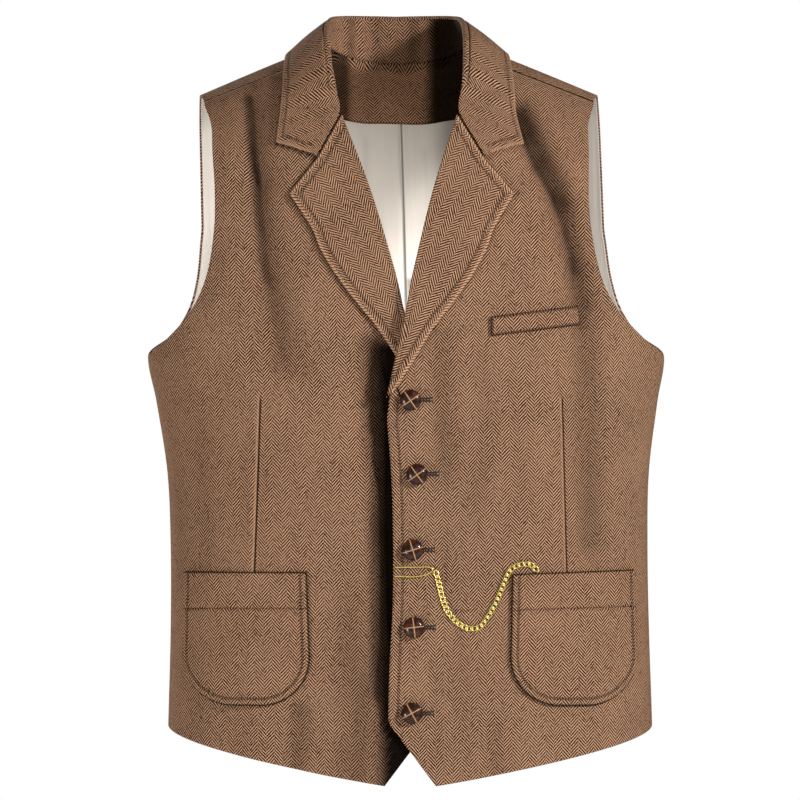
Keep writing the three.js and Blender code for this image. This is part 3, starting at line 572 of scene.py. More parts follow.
# How wide and how strong the painted shadow beside the lapel and the collar is; then where the painted shadow
# under the lapped edge falls on the right front.
TUCK_WIDTH, TUCK_SHADOW = 3.4, {"left": 0.25, "right": 0.8}
UNDER_LAP = {"x": 18, "reach": 17, "top": -222}
DART = {"left": (132.9, 135.0), "right": (125.6, 133.0), "top": -272.0, "length": 150, "end": -460,
        "rise": 1.1}
SHADES = [  # painted shade along shallow drags that are not in the shape: side, where each runs, width, strength
    (-1, 48, -400, 53, -600, 34, -4.6), (-1, 54, -545, 62, -625, 22, -3.0),
    (-1, 48, -330, 42, -480, 24, -1.5), (1, 64, -200, 70, -345, 26, -2.3),
    (1, 72, -290, 48, -410, 28, -2.7), (1, 30, -250, 42, -350, 24, -2.3),
    (1, 40, -480, 48, -610, 22, -1.8), (1, 98, -290, 102, -410, 24, -1.7),
]
SEAM_NEAR, FAR = 20, 50.0  # nearer the seam counts, and farther than any stitching


def side_seam(z, facing):
    depth = section(z, FRONT_DEPTH if facing < 0 else BACK_DEPTH)
    return np.stack([np.arccos((JOIN_GAP / depth) ** (ROUNDNESS / 2)), z - SPRING], -1)


def spaced(length, count, fine=(0, 0.25, 0.7, 1.4, 2.4, 4.2)):
    """Steps from 0 to 1 along a length, fine at both ends."""
    fine = np.asarray(fine, float)
    middle = np.linspace(fine[-1], length - fine[-1], count)[1:-1]
    return np.concatenate([fine, middle, length - fine[::-1]]) / length


def net_between(v, u, inner, outer, top_bend=0, bottom_bend=0):
    """Places between an inner and an outer edge, with a bend of the top row and of the bottom row."""
    rise, fall = v[:, None, None] ** 5, (1 - v[:, None, None]) ** 5
    return mix(inner[:, None], outer[:, None], u[None, :, None]) + top_bend * rise + bottom_bend * fall


def front_net(v, u):
    rows = along_rows(FRONT_ROWS, v * (len(FRONT_ROWS) - 1), FRONT_CORNERS)
    inset = ROLL_INSET * ease((rows[:, 1] - ROLL_LOW) / 15) * ease((ROLL_HIGH - rows[:, 1]) / 20)
    inner = place_at(rows[:, 0] + inset, rows[:, 1])
    low = rows[:, 3] <= CHEST_LEVEL
    outer = np.where(low[:, None], side_seam(rows[:, 3], -1), place_at(rows[:, 2], rows[:, 3]))
    inner[-1, 1] = outer[-1, 1] = SEAM_UP
    hem = np.stack([0 * u, 4 * HEM_BOW * u * (1 - u)], -1)
    return net_between(v, u, inner, outer, 0, hem)


def seam_end(distance):
    """1 beside a seam, easing to 0 away from it."""
    return 1 - ease((distance - 10) / 6)


front_v, front_u = spaced(FRONT_LENGTH, 150), spaced(FRONT_WIDTH, 84)
at_row = front_v * (len(FRONT_ROWS) - 1)
for name, side in (("left", 1), ("right", -1)):
    net = front_net(front_v, front_u)
    x, _, z = np.moveaxis(bare(-1, net), -1, 0)
    weave = on_cloth(-1, side, net)
    hem_and_edge = np.concatenate([weave[0, ::-1], weave[1:, 0][at_row[1:] < ROLL_ROW]])
    rim = nearest_of(weave, hem_and_edge, weave[:, -1][at_row > ARM_ROW], weave[:, 0])
    edge = edge_map(weave, weave[:, 0][(at_row > POINT_ROW) & (at_row < ROLL_ROW)])
    edge[..., 1] = np.where(edge[..., 0] < 0.01, FAR, edge[..., 1])
    below = DART["top"] - z
    beside = (x - mix(*DART[name], np.clip(below / DART["length"], 0, 1.2))) * side
    there = ease(below / 8) * ease((z - DART["end"]) / 20)
    ridge, trough = np.exp(-((beside + 4) / 4) ** 2), np.exp(-((beside - 2) / 4) ** 2)
    dart = there * (DART["rise"] * ridge - DART["rise"] * trough)
    shoulder = nearest_of(weave, weave[-1])
    beside = np.where(shoulder < SEAM_NEAR, -shoulder, beside)
    there = np.where(shoulder < SEAM_NEAR, seam_end(shoulder), there)
    # Painted shade along the troughs and the shades, a painted shadow beside the lapel and the collar, and a
    # painted shadow under the lapped edge.
    crease_shade = np.maximum(deepest(FOLDS, side, x, z), deepest(SHADES, side, x, z, taper=0.8))
    line = on_cloth(-1, side, place_at(TUCKED[:, 0], TUCKED[:, 1]))
    lapel_shadow = TUCK_SHADOW[name] * (1 - ease(nearest_of(weave, line) / TUCK_WIDTH))
    under = 1 - ease((x - UNDER_LAP["x"]) / UNDER_LAP["reach"])
    cast_shadow = under * ease((UNDER_LAP["top"] - z) / 12) * (side < 0)
    painted_shade = np.stack([crease_shade, np.maximum(cast_shadow, lapel_shadow)], -1)
    more = {"Seam": np.stack([beside, there], -1), "PaintedShade": painted_shade}
    swell = 0.5 * ease(edge[..., 1] / 2.5) * (1 - ease((edge[..., 1] - 5) / 4))
    outer = cloth_point(-1, side, net, dart + swell - rounding(rim, CLOTH_RADIUS))
    inner = cloth_point(-1, side, net, -CLOTH + rounding(rim, CLOTH_RADIUS))
    piece = shell(f"front_{name}_cloth", outer, inner, weave, edge, [body_tweed, lining_satin], "tweed",
                  f"front_{name}", 1, more)
    declare_cloth(outer)

# Backs: two tweed panels joined down the centre, over the ridge of the shoulders to a seam
# just in front of it, and scooped for the neck and the arms.
BACK_FOLDS = [
    (0, 18, -300, 26, -470, 26, -2.2), (0, 88, -250, 78, -400, 30, 2.0),
    (0, 120, -60, 96, -170, 24, -2.4), (0, 60, -20, 42, -120, 22, 1.5),
    (0, 150, -330, 140, -520, 26, -2.2), (0, 60, -430, 66, -560, 20, 1.8),
    (0, 40, -180, 110, -215, 18, -1.3),
    # The creases within them, which differ from side to side
    (1, 128, -40, 108, -150, 12, -3.1), (1, 108, -150, 92, -235, 13, -2.5),
    (1, 176, -250, 120, -300, 13, -2.9), (1, 56, -300, 42, -420, 14, -2.5),
    (1, 150, -420, 138, -548, 14, -2.9), (1, 30, -480, 34, -560, 13, -2.4),
    (-1, 118, -50, 104, -130, 12, -2.9), (-1, 104, -130, 74, -228, 13, -2.7),
    (-1, 182, -262, 112, -296, 13, -3.2), (-1, 112, -296, 60, -318, 14, -2.0),
    (-1, 92, -380, 84, -520, 14, -2.7), (-1, 160, -400, 156, -545, 14, -2.5),
]
BACK_ROWS = np.array([  # height at the centre, then side
    (-563, 209, -559), (-512, 207, -510), (-460, 206, -460), (-405, 206, -405), (-350, 207, -350),
    (-300, 213, -295), (-252, 223, -240), (0, 207, -225), (0, 191, -205), (0, 181, -175), (0, 176.5, -140),
    (0, 175, -99), (0, 174.5, -66), (0, 174, -42), (0, 173.2, -26), (0, 172.6, -18.5), (0, 172, -15.5),
    (0, 170.5, -16.4), (0, 168, -24)], float)
BACK_CORNERS = (0, 6, 18)
OVER_ROWS = np.arange(len(BACK_ROWS)) >= 17
UNDERARM = 6
NECKLINE = place_at([0, 24, 45, 58, 60], [12, 13.5, 18.5, 26, 18], np.arange(5) == 4)
BACK_SEAM_UP = 2 * DOME - SEAM_UP
BACK_HEM, BACK_RADIUS = -563, 0.8
NECK_SHARE = 0.5  # of the top row; the rest is the shoulder seam
BACK_SHADE = 0.55


def along_neck(table, t):
    return along_rows(table, t * (len(table) - 1))


def back_net(v, u, neck, hem, inset):
    last = len(BACK_ROWS) - 1
    z = np.maximum(BACK_ROWS[:, 2], hem)
    low = z <= CHEST_LEVEL
    side = np.where(low[:, None], side_seam(z, 1), place_at(BACK_ROWS[:, 1] - inset, z, OVER_ROWS))
    side[-1, 1] = BACK_SEAM_UP
    rows = np.arange(last + 1)
    centre = np.maximum(BACK_ROWS[np.minimum(rows, UNDERARM), 0], hem) - SPRING
    centre = mix(centre, neck[0, 1], np.maximum(rows - UNDERARM, 0) / (last - UNDERARM))
    found = along_rows(np.stack([centre, side[:, 0], side[:, 1]], -1), v * last, BACK_CORNERS)
    middle = np.arcsin((JOIN_GAP / section(SPRING, HALF_WIDTH)) ** (ROUNDNESS / 2))
    inner = np.stack([np.full(len(v), middle), found[:, 0]], -1)
    outer = found[:, 1:]
    corner = along_neck(neck, np.array([1.0]))[0]
    on_neck = along_neck(neck, np.clip(u / NECK_SHARE, 0, 1))
    beyond = mix(corner[0], outer[-1, 0], (u - NECK_SHARE) / (1 - NECK_SHARE))
    on_seam = np.stack([beyond, np.full(len(u), BACK_SEAM_UP)], -1)
    top = np.where((u < NECK_SHARE - 0.001)[:, None], on_neck, on_seam)
    bend = top - mix(inner[-1], outer[-1], u[:, None])
    bend[0, 0] = 0
    return net_between(v, u, inner, outer, bend)


back_v, half_u = spaced(620, 150), spaced(110, 40) * NECK_SHARE
back_u = np.concatenate([half_u, NECK_SHARE + half_u[1:]])
for name, side in (("left", 1), ("right", -1)):
    net = back_net(back_v, back_u, NECKLINE, BACK_HEM, 0)
    x, _, z = np.moveaxis(bare(1, net), -1, 0)
    weave = on_cloth(1, side, net)
    hem = np.concatenate([weave[0, -1:], weave[0]])
    rim = nearest_of(weave, hem, weave[:, -1], weave[:, 0], weave[-1])
    outer = cloth_point(1, side, net, -rounding(rim, BACK_RADIUS))
    inner = cloth_point(1, side, net, -CLOTH + rounding(rim, BACK_RADIUS))
    shoulder = nearest_of(weave, weave[-1][back_u > NECK_SHARE])
    centre = np.abs(weave[..., 0])
    beside = np.where(shoulder < SEAM_NEAR, shoulder, np.maximum(centre + 0.4 * side, 0))
    there = np.where(shoulder < SEAM_NEAR, seam_end(shoulder), 0.6 * seam_end(centre))
    # Painted shade along the creases.
    crease_shade = BACK_SHADE * deepest(BACK_FOLDS, side, x, z, taper=1)
    more = {"Seam": np.stack([beside, there], -1), "PaintedShade": np.stack([crease_shade, 0 * crease_shade], -1)}
    piece = shell(f"back_{name}_cloth", outer, inner, weave, np.full(weave.shape, FAR), [body_tweed],
                  "tweed", f"back_{name}", 0, more)
    declare_cloth(outer)

# Back lining: the same cut a little smaller, of satin, joined by a pressed seam down the centre and
# hung just inside the back. It stops at the neck band.
back_satin = satin("lining_back_satin", joined=True)
LINING_EASE, LINING_CLOTH, LINING_RADIUS = 1.8, 1.2, 0.5
LINING_HEM, LINING_INSET = -548, 0.6
TURNED_OUT, TURN_WIDTH = 1.6, 9  # towards the tweed, along the armhole
PRESS_DEPTH, PRESS_FROM_CENTRE, PRESS_WIDTH = 0.6, 3, 2.2
BAND_EDGE = place_at([0, 35, 68, 92, 104], [-36, -35, -24, 2, 4.5], np.arange(5) == 4)
LINING_SHADES = [  # painted shade along creases that are not in the shape: side, where each runs, width, depth
    (1, 5, -175, 6, -240, 5, -0.30), (-1, 22, -120, 8, -170, 3, -0.07), (-1, 6, -185, 9, -240, 4, -0.25),
    (1, 22, -60, 21, -150, 6, -0.06), (1, 48, -20, 38, -125, 22, -1.0), (-1, 30, -50, 31, -100, 5, -0.05),
]
lining_v = spaced(600, 130)
arm_rows = lining_v * (len(BACK_ROWS) - 1) > 5.5
for name, side in (("left", 1), ("right", -1)):
    net = back_net(lining_v, back_u, BAND_EDGE, LINING_HEM, LINING_INSET)
    x, _, z = np.moveaxis(bare(1, net), -1, 0)
    weave = on_cloth(1, side, net)
    edge = edge_map(weave, weave[:, 0])
    armhole = nearest_of(weave, weave[:, -1][arm_rows])
    rim = nearest_of(weave, weave[:, 0], weave[:, -1])
    across, up = np.abs(weave[..., 0]), weave[..., 1]
    turned = 1 - ease(armhole / TURN_WIDTH)
    slack = 0.5 * np.sin(across / 9 + 0.8 * np.sin(up / 60) + side) * np.sin(across / 23 + up / 170)
    slack = slack * (1 - turned)
    seam_band = PRESS_DEPTH * np.exp(-((across - PRESS_FROM_CENTRE) / PRESS_WIDTH) ** 2)
    depth = -CLOTH - LINING_EASE + TURNED_OUT * turned
    outer = cloth_point(1, side, net, depth + slack * 0.5 - rounding(rim, LINING_RADIUS))
    inner = cloth_point(1, side, net, depth - LINING_CLOTH + slack - seam_band + rounding(rim, LINING_RADIUS))
    # Painted shade along the creases, and a painted shadow high in the armholes.
    armhole_shadow = 0.8 * (1 - ease((armhole - 4) / 16)) * ease((up - 45) / 70)
    lining_shade = np.maximum(np.clip(deepest(LINING_SHADES, side, x, z), 0, 0.7), armhole_shadow)
    piece = shell(f"back_lining_{name}_cloth", outer, inner, weave, edge, [back_satin], "lining",
                  f"back_lining_{name}", 0, {"PaintedShade": np.stack([lining_shade, lining_shade], -1)})
    declare_cloth(outer)

# Neck band: a shaped strip of tweed inside the back neck, sewn in with the collar's seam and hung
# over the top of the lining, whole across the centre.
band_tweed = tweed("tweed_band", stitch=0.001, shaded=True)
BAND_CLOTH, BAND_FLUTE = 1.4, 1.3
SEWN = {"width": 3.2, "along": 1.6, "outer": 3.9, "inner": 3.5}  # how it rises into the collar's seam
band_columns = spaced(48, 22)
skins = {"outer": [], "inner": [], "weave": []}
for t in np.linspace(-1, 1, 97):
    side = -1 if t < 0 else 1
    top, low = (along_neck(line, np.array([abs(t)]))[0] for line in (NECKLINE, BAND_EDGE))
    row = mix(top, low, band_columns[:, None])
    if abs(t) == 1:
        row[:, 1] = BACK_SEAM_UP
    near = 1 - ease(np.linalg.norm(row - row[0], axis=-1) / SEWN["width"])
    row[:, 1] += SEWN["along"] * near * (-1 if abs(t) > 0.9 else 1)
    flute = BAND_FLUTE * (1 + np.sin(t * 17 + 0.6)) * (1 - near) * ease((1 - abs(t)) / 0.1)
    depth = -CLOTH - LINING_EASE - flute
    skins["outer"].append(cloth_point(1, side, row, depth + SEWN["outer"] * near))
    skins["inner"].append(cloth_point(1, side, row, depth - BAND_CLOTH + SEWN["inner"] * near))
    skins["weave"].append(on_cloth(1, side, row))
outer, inner, weave = (np.array(skins[part]) for part in ("outer", "inner", "weave"))
# Painted shadow inside the neck, strong towards the left and weaker on the right.
left, right = ease((inner[..., 0] - 12) / 14), ease((-inner[..., 0] - 45) / 8)
shadow = np.minimum(0.97 * left + 0.8 * right, 0.97)
piece = shell("neck_band_cloth", outer, inner, weave, edge_map(weave, weave[:, -1]), [band_tweed], "tweed",
              "neck_band", 0, {"PaintedShade": np.stack([0 * shadow, shadow], -1)})
declare_cloth(inner)

# Collar: a tweed stand round the back of the neck and a fall that turns over it, hangs on the
# shoulders and lies flat on the fronts down to the notch. Its long edge is whipped and topstitched.
edge_tweed = tweed("tweed_collar", stitch=0.007, cord=0.35)
plain_tweed = tweed("tweed_plain", shaded=True)
COLLAR_ROWS = np.array([  # neck seam x z, fold x y z, outer edge x z
    (0, 12, 0, 48, 53, 0, 3), (26, 14, 27, 45, 53.4, 37, 2), (48, 20, 47, 34, 53, 69, 4),
    (59.5, 27, 55.5, 6, 50, 91, 14), (60.5, 20, 58, -33, 38, 97, 6), (58, 3, 57.5, -58, 17, 99, -11),
    (55, -13, 55.5, -71, -6, 101.5, -28), (51.6, -33, 51, -79, -32, 104, -43),
    (71.4, -69.4, 71, -91, -69, 106.5, -58)], float)
collar_over = np.arange(len(COLLAR_ROWS)) >= 4
COLLAR = np.concatenate([COLLAR_ROWS[:, 2:5], place_at(COLLAR_ROWS[:, 0], COLLAR_ROWS[:, 1], collar_over),
                         place_at(COLLAR_ROWS[:, 5], COLLAR_ROWS[:, 6], collar_over)], -1)
SEAT, TURNED = 0.95, 2.2
FOLD_RADIUS, FALL_BOW, ROW_SPACING = 1.75, 5.0, 26
HEAD_SHARE = 0.08  # of the way from the seam to the edge, taken by the turn over the fold
GRAIN_ROW, FLAT_ROW = 5, 7  # from here the grain is the front's, and the collar lies flat
MIDDLE_COLUMN, FOLD_COLUMNS, STAND_COLUMN = 27, 12, 6  # of the fall, of its turn and of the stand
LEAST_STAND, STAND_FLUTE = 4, 0.9
STAND_SHADES = ((6, 5, 0.35), (-25, 5, 0.25), (-48, 4, 0.35))  # painted shadows inside the stand: x, width, strength
head_angles = np.linspace(math.pi, 0, 11)
fall_shares = np.concatenate([np.linspace(0, 0.9, 25)[1:], spaced(40, 4)[-7:]])
fall_shares = np.unique(np.round(fall_shares, 5))


def collar_section(at, side):
    fold_x, fold_y, fold_z, seam_round, seam_up, edge_round, edge_up = along_rows(COLLAR, np.array([at]))[0]
    seam, rim = np.array([seam_round, seam_up]), np.array([edge_round, edge_up])
    raised = ease((FLAT_ROW - at) / 1.2)
    lie = SEAT + 0.5 * TURNED + 0.6 * raised
    fold = worn(side, np.array([fold_x, fold_y, fold_z]))
    edge = cloth_point(1, side, rim, lie)
    away = np.array([edge[0] - fold[0], edge[1] - fold[1], 0])
    away /= np.linalg.norm(away)
    head = fold + away * (FOLD_RADIUS * (1 + np.cos(head_angles)))[:, None]
    head[:, 2] += FOLD_RADIUS * (np.sin(head_angles) - 1)
    turn_places = seam + (rim - seam) * (HEAD_SHARE * np.linspace(0, 1, len(head)))[:, None]
    lying = cloth_point(1, side, turn_places, np.full(len(head), lie))
    turn = mix(lying, head, raised)
    t = mix(HEAD_SHARE, 1, fall_shares)
    hung = mix(head[-1], edge, fall_shares[:, None]) + away * (FALL_BOW * 3 * t * (1 - t) ** 2)[:, None]
    hung[:, 2] += FALL_BOW * t * (1 - t)
    places = seam + (rim - seam) * t[:, None]
    lying = cloth_point(1, side, places, np.full(len(t), lie))
    normal = outward(1, places) * (side, 1, 1)
    clear = np.maximum(((lying - hung) * normal).sum(-1), 0)
    fall = mix(lying, hung + normal * clear[:, None], raised)
    foot = cloth_point(1, side, seam, np.array(0.0)) + (0, 0, 0.6)
    top = head[3] + (0, 0, -0.3)
    stand = mix(foot, top, np.linspace(0, 1, 13)[:, None])
    return np.concatenate([turn, fall]), np.concatenate([turn_places, places]), stand, top[2] - foot[2]


def sheet_about(grid, thickness, rim):
    """The two skins of a sheet of even thickness about a grid of middle points, with rounded edges."""
    across = np.gradient(grid, axis=1)
    along = np.gradient(grid, axis=0)
    normal = np.cross(along, across)
    normal /= np.linalg.norm(normal, axis=-1, keepdims=True)
    half = (0.5 * thickness - rounding(rim, 0.5 * thickness - 0.1))[..., None]
    return grid + normal * half, grid - normal * half


def run_and_rise(grid, column, rise):
    """A weave map measured along one column from its middle, and up each row."""
    run = reach(grid[:, column])
    return np.stack([np.broadcast_to((run - run[-1] / 2)[:, None], rise.shape), rise], -1)


last_row = len(COLLAR_ROWS) - 1
half = spaced(last_row * ROW_SPACING, 96)
collar_at = np.concatenate([-half[::-1], half[1:]]) * last_row
sides = np.where(collar_at < 0, -1, 1)
made = [collar_section(abs(at), s) for at, s in zip(collar_at, sides)]
grid = np.array([fall for fall, _, _, _ in made])
weave = run_and_rise(grid, MIDDLE_COLUMN, reach(grid, 1))
cloth = np.array([on_cloth(-1, s, flat * (1, -1) + (0, 2 * DOME)) for s, (_, flat, _, _) in zip(sides, made)])
for s in (-1, 1):
    turn = np.argmin(np.abs(collar_at - GRAIN_ROW * s))
    ahead = collar_at * s > GRAIN_ROW
    weave[ahead, :, 0] = weave[turn, :, 0] - s * (cloth[ahead, :, 1] - cloth[turn, :, 1])
    weave[ahead, :, 1] = weave[turn, :, 1] + s * (cloth[ahead, :, 0] - cloth[turn, :, 0])
edge = edge_map(weave, np.concatenate([weave[0], weave[1:-1, -1], weave[-1, ::-1]]))
outer, inner = sheet_about(grid, TURNED, np.minimum(edge[..., 1], 20))
edge[..., 1] = np.where(np.arange(grid.shape[1]) < FOLD_COLUMNS, 20, edge[..., 1])
piece = shell("collar_cloth", outer, inner, weave, edge, [edge_tweed], "tweed", "collar")
declare_cloth(outer)
grid = np.array([stand for _, _, stand, height in made if height > LEAST_STAND])
rise = np.linalg.norm(grid - grid[:, :1], axis=-1)
weave = run_and_rise(grid, STAND_COLUMN, rise)
away = np.linalg.norm(grid[:, :1, :2], axis=-1, keepdims=True)
inwards = grid[:, :1] * (-1, -1, 0) / np.maximum(away, 1)
flute = STAND_FLUTE * (1 + np.sin(weave[..., 0] / 9.5 + 0.6)) * np.sin(rise / rise[:, -1:] * math.pi)
grid = grid + inwards * flute[..., None]
outer, inner = sheet_about(grid, TURNED, np.full(rise.shape, 20.0))
# Painted shadow inside the stand, strong towards the left, with the narrower painted shadows of the table.
shadow = 0.95 * ease((grid[..., 0] - 15) / 12)
for at, width, dark in STAND_SHADES:
    shadow = np.maximum(shadow, dark * np.exp(-((grid[..., 0] - at) / width) ** 2))
piece = shell("collar_stand_cloth", outer, inner, weave, np.full(weave.shape, FAR), [plain_tweed], "tweed",
              "collar_stand", 0, {"PaintedShade": np.stack([0 * shadow, shadow], -1)})
declare_cloth(outer)

# Lapels: each tweed facing turns back over the front edge along the roll line, puffed at the turn,
# and lies on the front. Its grain is the front's, turned over with it, and its edge is whipped.
lapel_tweed = tweed("tweed_lapel", stitch=0.007, cord=0.9)
LAPEL_ROWS = np.array([  # roll line, then the lapel's own edge, from the break to the tip
    (-17.6, -276, -10.5, -270), (-10, -245, 5, -247), (-3.8, -220, 24, -217), (1.5, -198, 39, -198),
    (6, -175, 51, -182), (14, -144, 63, -164), (21.5, -116, 72, -147), (32, -82, 78.5, -130),
    (49, -34.5, 96, -102)], float)
NOTCH = np.array([70.5, -71.5])
NOTCH_SHARE = 0.42
ROLL_BULGE, ROLL_WIDTH = 1.3, 4.5
LAPEL_RADIUS, LAPEL_UNDER_RADIUS, LAPEL_PUFF = 1.1, 0.9, 0.5
PIVOT_ROW, TURN_COLUMN = 4, 8
lapel_v = spaced(270, 90)
lapel_u = spaced(50, 34)[2:]
lapel_u = (lapel_u - lapel_u[0]) / (1 - lapel_u[0])


def lapel_skins(side, v):
    row = along_rows(LAPEL_ROWS, np.array([v * (len(LAPEL_ROWS) - 1)]))[0]
    start, end = row[:2], row[2:]
    width = np.linalg.norm(end - start)
    notch = (NOTCH - mix(LAPEL_ROWS[-1, :2], LAPEL_ROWS[-1, 2:], NOTCH_SHARE)) * v ** 9
    top = SEAT + TURNED
    turned = ROLL_INSET - 0.7
    flat = min(ROLL_WIDTH, 0.6 * width)
    turn = [(0.2, -CLOTH), (0, 0.2 * top), (0.35, top + 0.4 * ROLL_BULGE), (1.8, top + ROLL_BULGE),
            (flat, top + LAPEL_PUFF)]
    under = [(turned, -CLOTH), (turned, 0.3 * SEAT), (turned, 0.7 * SEAT), (turned + 0.3, SEAT), (flat, SEAT)]
    steps = np.linspace(0, len(turn) - 1, 17)
    across = mix(flat, width, lapel_u[1:])
    distance = width - across
    past = across - flat
    share = np.clip(past / max(width - flat, 1), 0, 1)
    belly = 1.2 * np.exp(-(past / 9) ** 2) + 0.9 * np.sin(share * math.pi)
    above = top + LAPEL_PUFF + belly * 0.6 - rounding(distance, LAPEL_RADIUS)
    over = np.concatenate([along_rows(turn, steps), np.stack([across, above], -1)])
    seat = np.stack([across, SEAT + rounding(distance, LAPEL_UNDER_RADIUS)], -1)
    below = np.concatenate([along_rows(under, steps), seat])

    def spots(profile):
        u = profile[:, 0] / width
        bend = np.maximum(np.minimum(u / NOTCH_SHARE, (1 - u) / (1 - NOTCH_SHARE)), 0)
        at = start + (end - start) * u[:, None] + notch * bend[:, None]
        place = place_at(at[:, 0], at[:, 1])
        return cloth_point(-1, side, place, profile[:, 1]), on_cloth(-1, side, place)

    outer, weave = spots(over)
    inner, _ = spots(below)
    return outer, inner, weave


for name, side in (("left", 1), ("right", -1)):
    rows = [lapel_skins(side, v) for v in lapel_v]
    outer, inner, weave = (np.array([row[k] for row in rows]) for k in range(3))
    edge = edge_map(weave, np.concatenate([weave[1:, -1], weave[-1, ::-1]]))
    pivot, run = weave[PIVOT_ROW, TURN_COLUMN], weave[-1, TURN_COLUMN] - weave[PIVOT_ROW, TURN_COLUMN]
    run = run / np.linalg.norm(run)
    off = weave - pivot
    turned = 2 * (off @ run)[..., None] * run - off + pivot
    drop = (inner - outer) / np.linalg.norm(inner - outer, axis=-1, keepdims=True)
    outer = outer + drop * rounding(nearest_of(weave, weave[-1]), LAPEL_RADIUS)[..., None]
    piece = shell(f"lapel_{name}_cloth", outer, inner, turned, edge, [lapel_tweed], "tweed", f"lapel_{name}")
    declare_cloth(outer)

# Patch pockets: a U-shaped tweed pouch topped by a header band, sewn on inside a raised border,
# standing a little off the front; and the narrow welt of the breast pocket, sewn on all round.
# The pockets and the welt carry a painted shadow along their sewn-down rims.
pocket_tweed = tweed("tweed_pocket", stitch=0.0062, rim_shadow=0.85, groove_shade=0.5)
welt_tweed = tweed("tweed_welt", stitch=0.0009, rim_shadow=0.9)
POCKET = {"x": 139.5, "top": -426, "width": 104.0, "low_width": 108.0, "height": 115.0, "corner": 42.0,
          "band": 31.5, "swell": 1.5}
BORDER = {"rise": 3, "from": 4.5, "fall": 0.55, "radius": 1.0, "under_radius": 0.8}
WELT = {"x": 112.5, "z": -210.5, "length": 79.0, "height": 16.5, "tilt": 0.126, "swell": 0.9}


def crowded(count):
    return 0.5 - 0.5 * np.cos(np.linspace(0, math.pi, count))


def laid_on(name, node, side, x, z, look, swell, share, stitched, sewn_down):
    """A flat piece on the front, from the rows of points across it. The stitching follows some of its
    edges, and a painted shadow along the sewn-down seam others."""
    place = place_at(x, z)
    weave = on_cloth(-1, side, place)
    outline = np.concatenate([weave[0], weave[1:, -1], weave[-1, ::-1][1:], weave[::-1, 0][1:]])
    rim = nearest_of(weave, outline)
    lines = np.array([edge_map(weave, line) for line in stitched(weave)])
    edge = np.take_along_axis(lines, lines[..., 1:].argmin(0)[None], 0)[0]
    within = 1 - BORDER["fall"] * ease((rim - BORDER["from"]) / BORDER["rise"])
    top = SEAT + TURNED + swell * ease(rim / BORDER["rise"]) * within
    outer = cloth_point(-1, side, place, top - rounding(rim, BORDER["radius"]))
    inner = cloth_point(-1, side, place, SEAT + rounding(rim, BORDER["under_radius"]))
    more = {"Rim": edge_map(weave, sewn_down(weave))[..., ::-1]}
    piece = shell(name, outer, inner, weave + share, edge, [look], "tweed", node, 0, more)
    declare_cloth(outer)


def pocket_points(tilt, from_top, to_low, count, rounded):
    share = crowded(count)
    below = mix(from_top, to_low, np.sin(np.linspace(0, QUARTER, count)) if rounded else share)
    below = np.unique(np.concatenate([below, from_top + np.array([0.3, 0.8, 1.6])])) if rounded else below
    straight = POCKET["height"] - POCKET["corner"]
    full = mix(POCKET["width"], POCKET["low_width"], np.minimum(below / straight, 1)) / 2
    into = np.maximum(below - straight, 0)
    half = full - (POCKET["corner"] - np.sqrt(np.maximum(POCKET["corner"] ** 2 - into ** 2, 0)))
    off = mix(-half[:, None], half[:, None], crowded(56)[None])
    z = POCKET["top"] - below[:, None] + tilt * off * (1 - below[:, None] / POCKET["height"])
    return POCKET["x"] + off, z


def round_below(w):
    return np.concatenate([w[:, 0], w[-1], w[::-1, -1]])


def over_top(w):
    return np.concatenate([w[::-1, 0], w[0], w[:, -1]])


def all_round(w):
    return np.concatenate([round_below(w), w[0, ::-1]])


for name, side, tilt in (("left", 1, 0.035), ("right", -1, 0.0)):
    x, z = pocket_points(tilt, POCKET["band"], POCKET["height"], 56, True)
    laid_on(f"pocket_{name}_cloth", f"pocket_{name}", side, x, z, pocket_tweed, POCKET["swell"], (1.4, 1.9),
            lambda w: [round_below(w)], round_below)
    x, z = pocket_points(tilt, 0, POCKET["band"], 20, False)
    laid_on(f"pocket_band_{name}_cloth", f"pocket_band_{name}", side, x, z, pocket_tweed, POCKET["swell"],
            (2.9, 0.4), lambda w: [w[:, 0], w[:, -1]], over_top)
off = (crowded(48) - 0.5)[None] * WELT["length"]
rise = (0.5 - crowded(18))[:, None] * WELT["height"]
x, z = WELT["x"] + off + 0 * rise, WELT["z"] + WELT["tilt"] * off + rise
laid_on("breast_welt_cloth", "breast_welt", 1, x, z, welt_tweed, WELT["swell"], (3.3, 2.2),
        lambda w: [all_round(w)], all_round)

# Buttons: domed leather in dark brown, glossy, each crossed by two tan cords and sewn on through a
# short shank.
BUTTON_SPOTS = [(3, -278), (7.5, -342), (3, -407), (3.4, -473.5), (1.3, -547)]
BUTTON_TURNS = (0.6, 0.62, 0.3, 0.12, 0.5)
BUTTON_RADIUS, DISC_THICKNESS, DISC_MIDDLE = 9.3e-3, 2.4e-3, 3.2e-3
CROWN_STEPS = ((0.8e-3, 1.6e-3), (1.6e-3, 1.35e-3), (2.1e-3, 0.85e-3), (2.2e-3, 0.4e-3), (1.2e-3, 0.05e-3))
SHANK_STEPS, SHANK_LENGTH = ((1.2e-3, 0.5e-3), (5.0e-3, 0)), 1.9e-3
CORD_RADIUS, CORD_KNOTS = 0.5e-3, 7
CORD_REACH, CORD_FOOT, CORD_SINK = 0.74, 3.4e-3, 0.6e-3


def leather():
    looks = {"Coat Weight": 0.55, "Coat Roughness": 0.07, "Roughness": 0.5, "Specular IOR Level": 0.15}
    material, shader, base = finish("button_leather", looks)
    face = base.noise(260.0).between(0.42, 0.7).blend(colour(30, 11, 5), colour(84, 36, 17))
    connect(base.tree, shader, Base_Color=face, Normal=base.noise(1400.0, 3.0).bump(0.25, 0.0003))
    return material


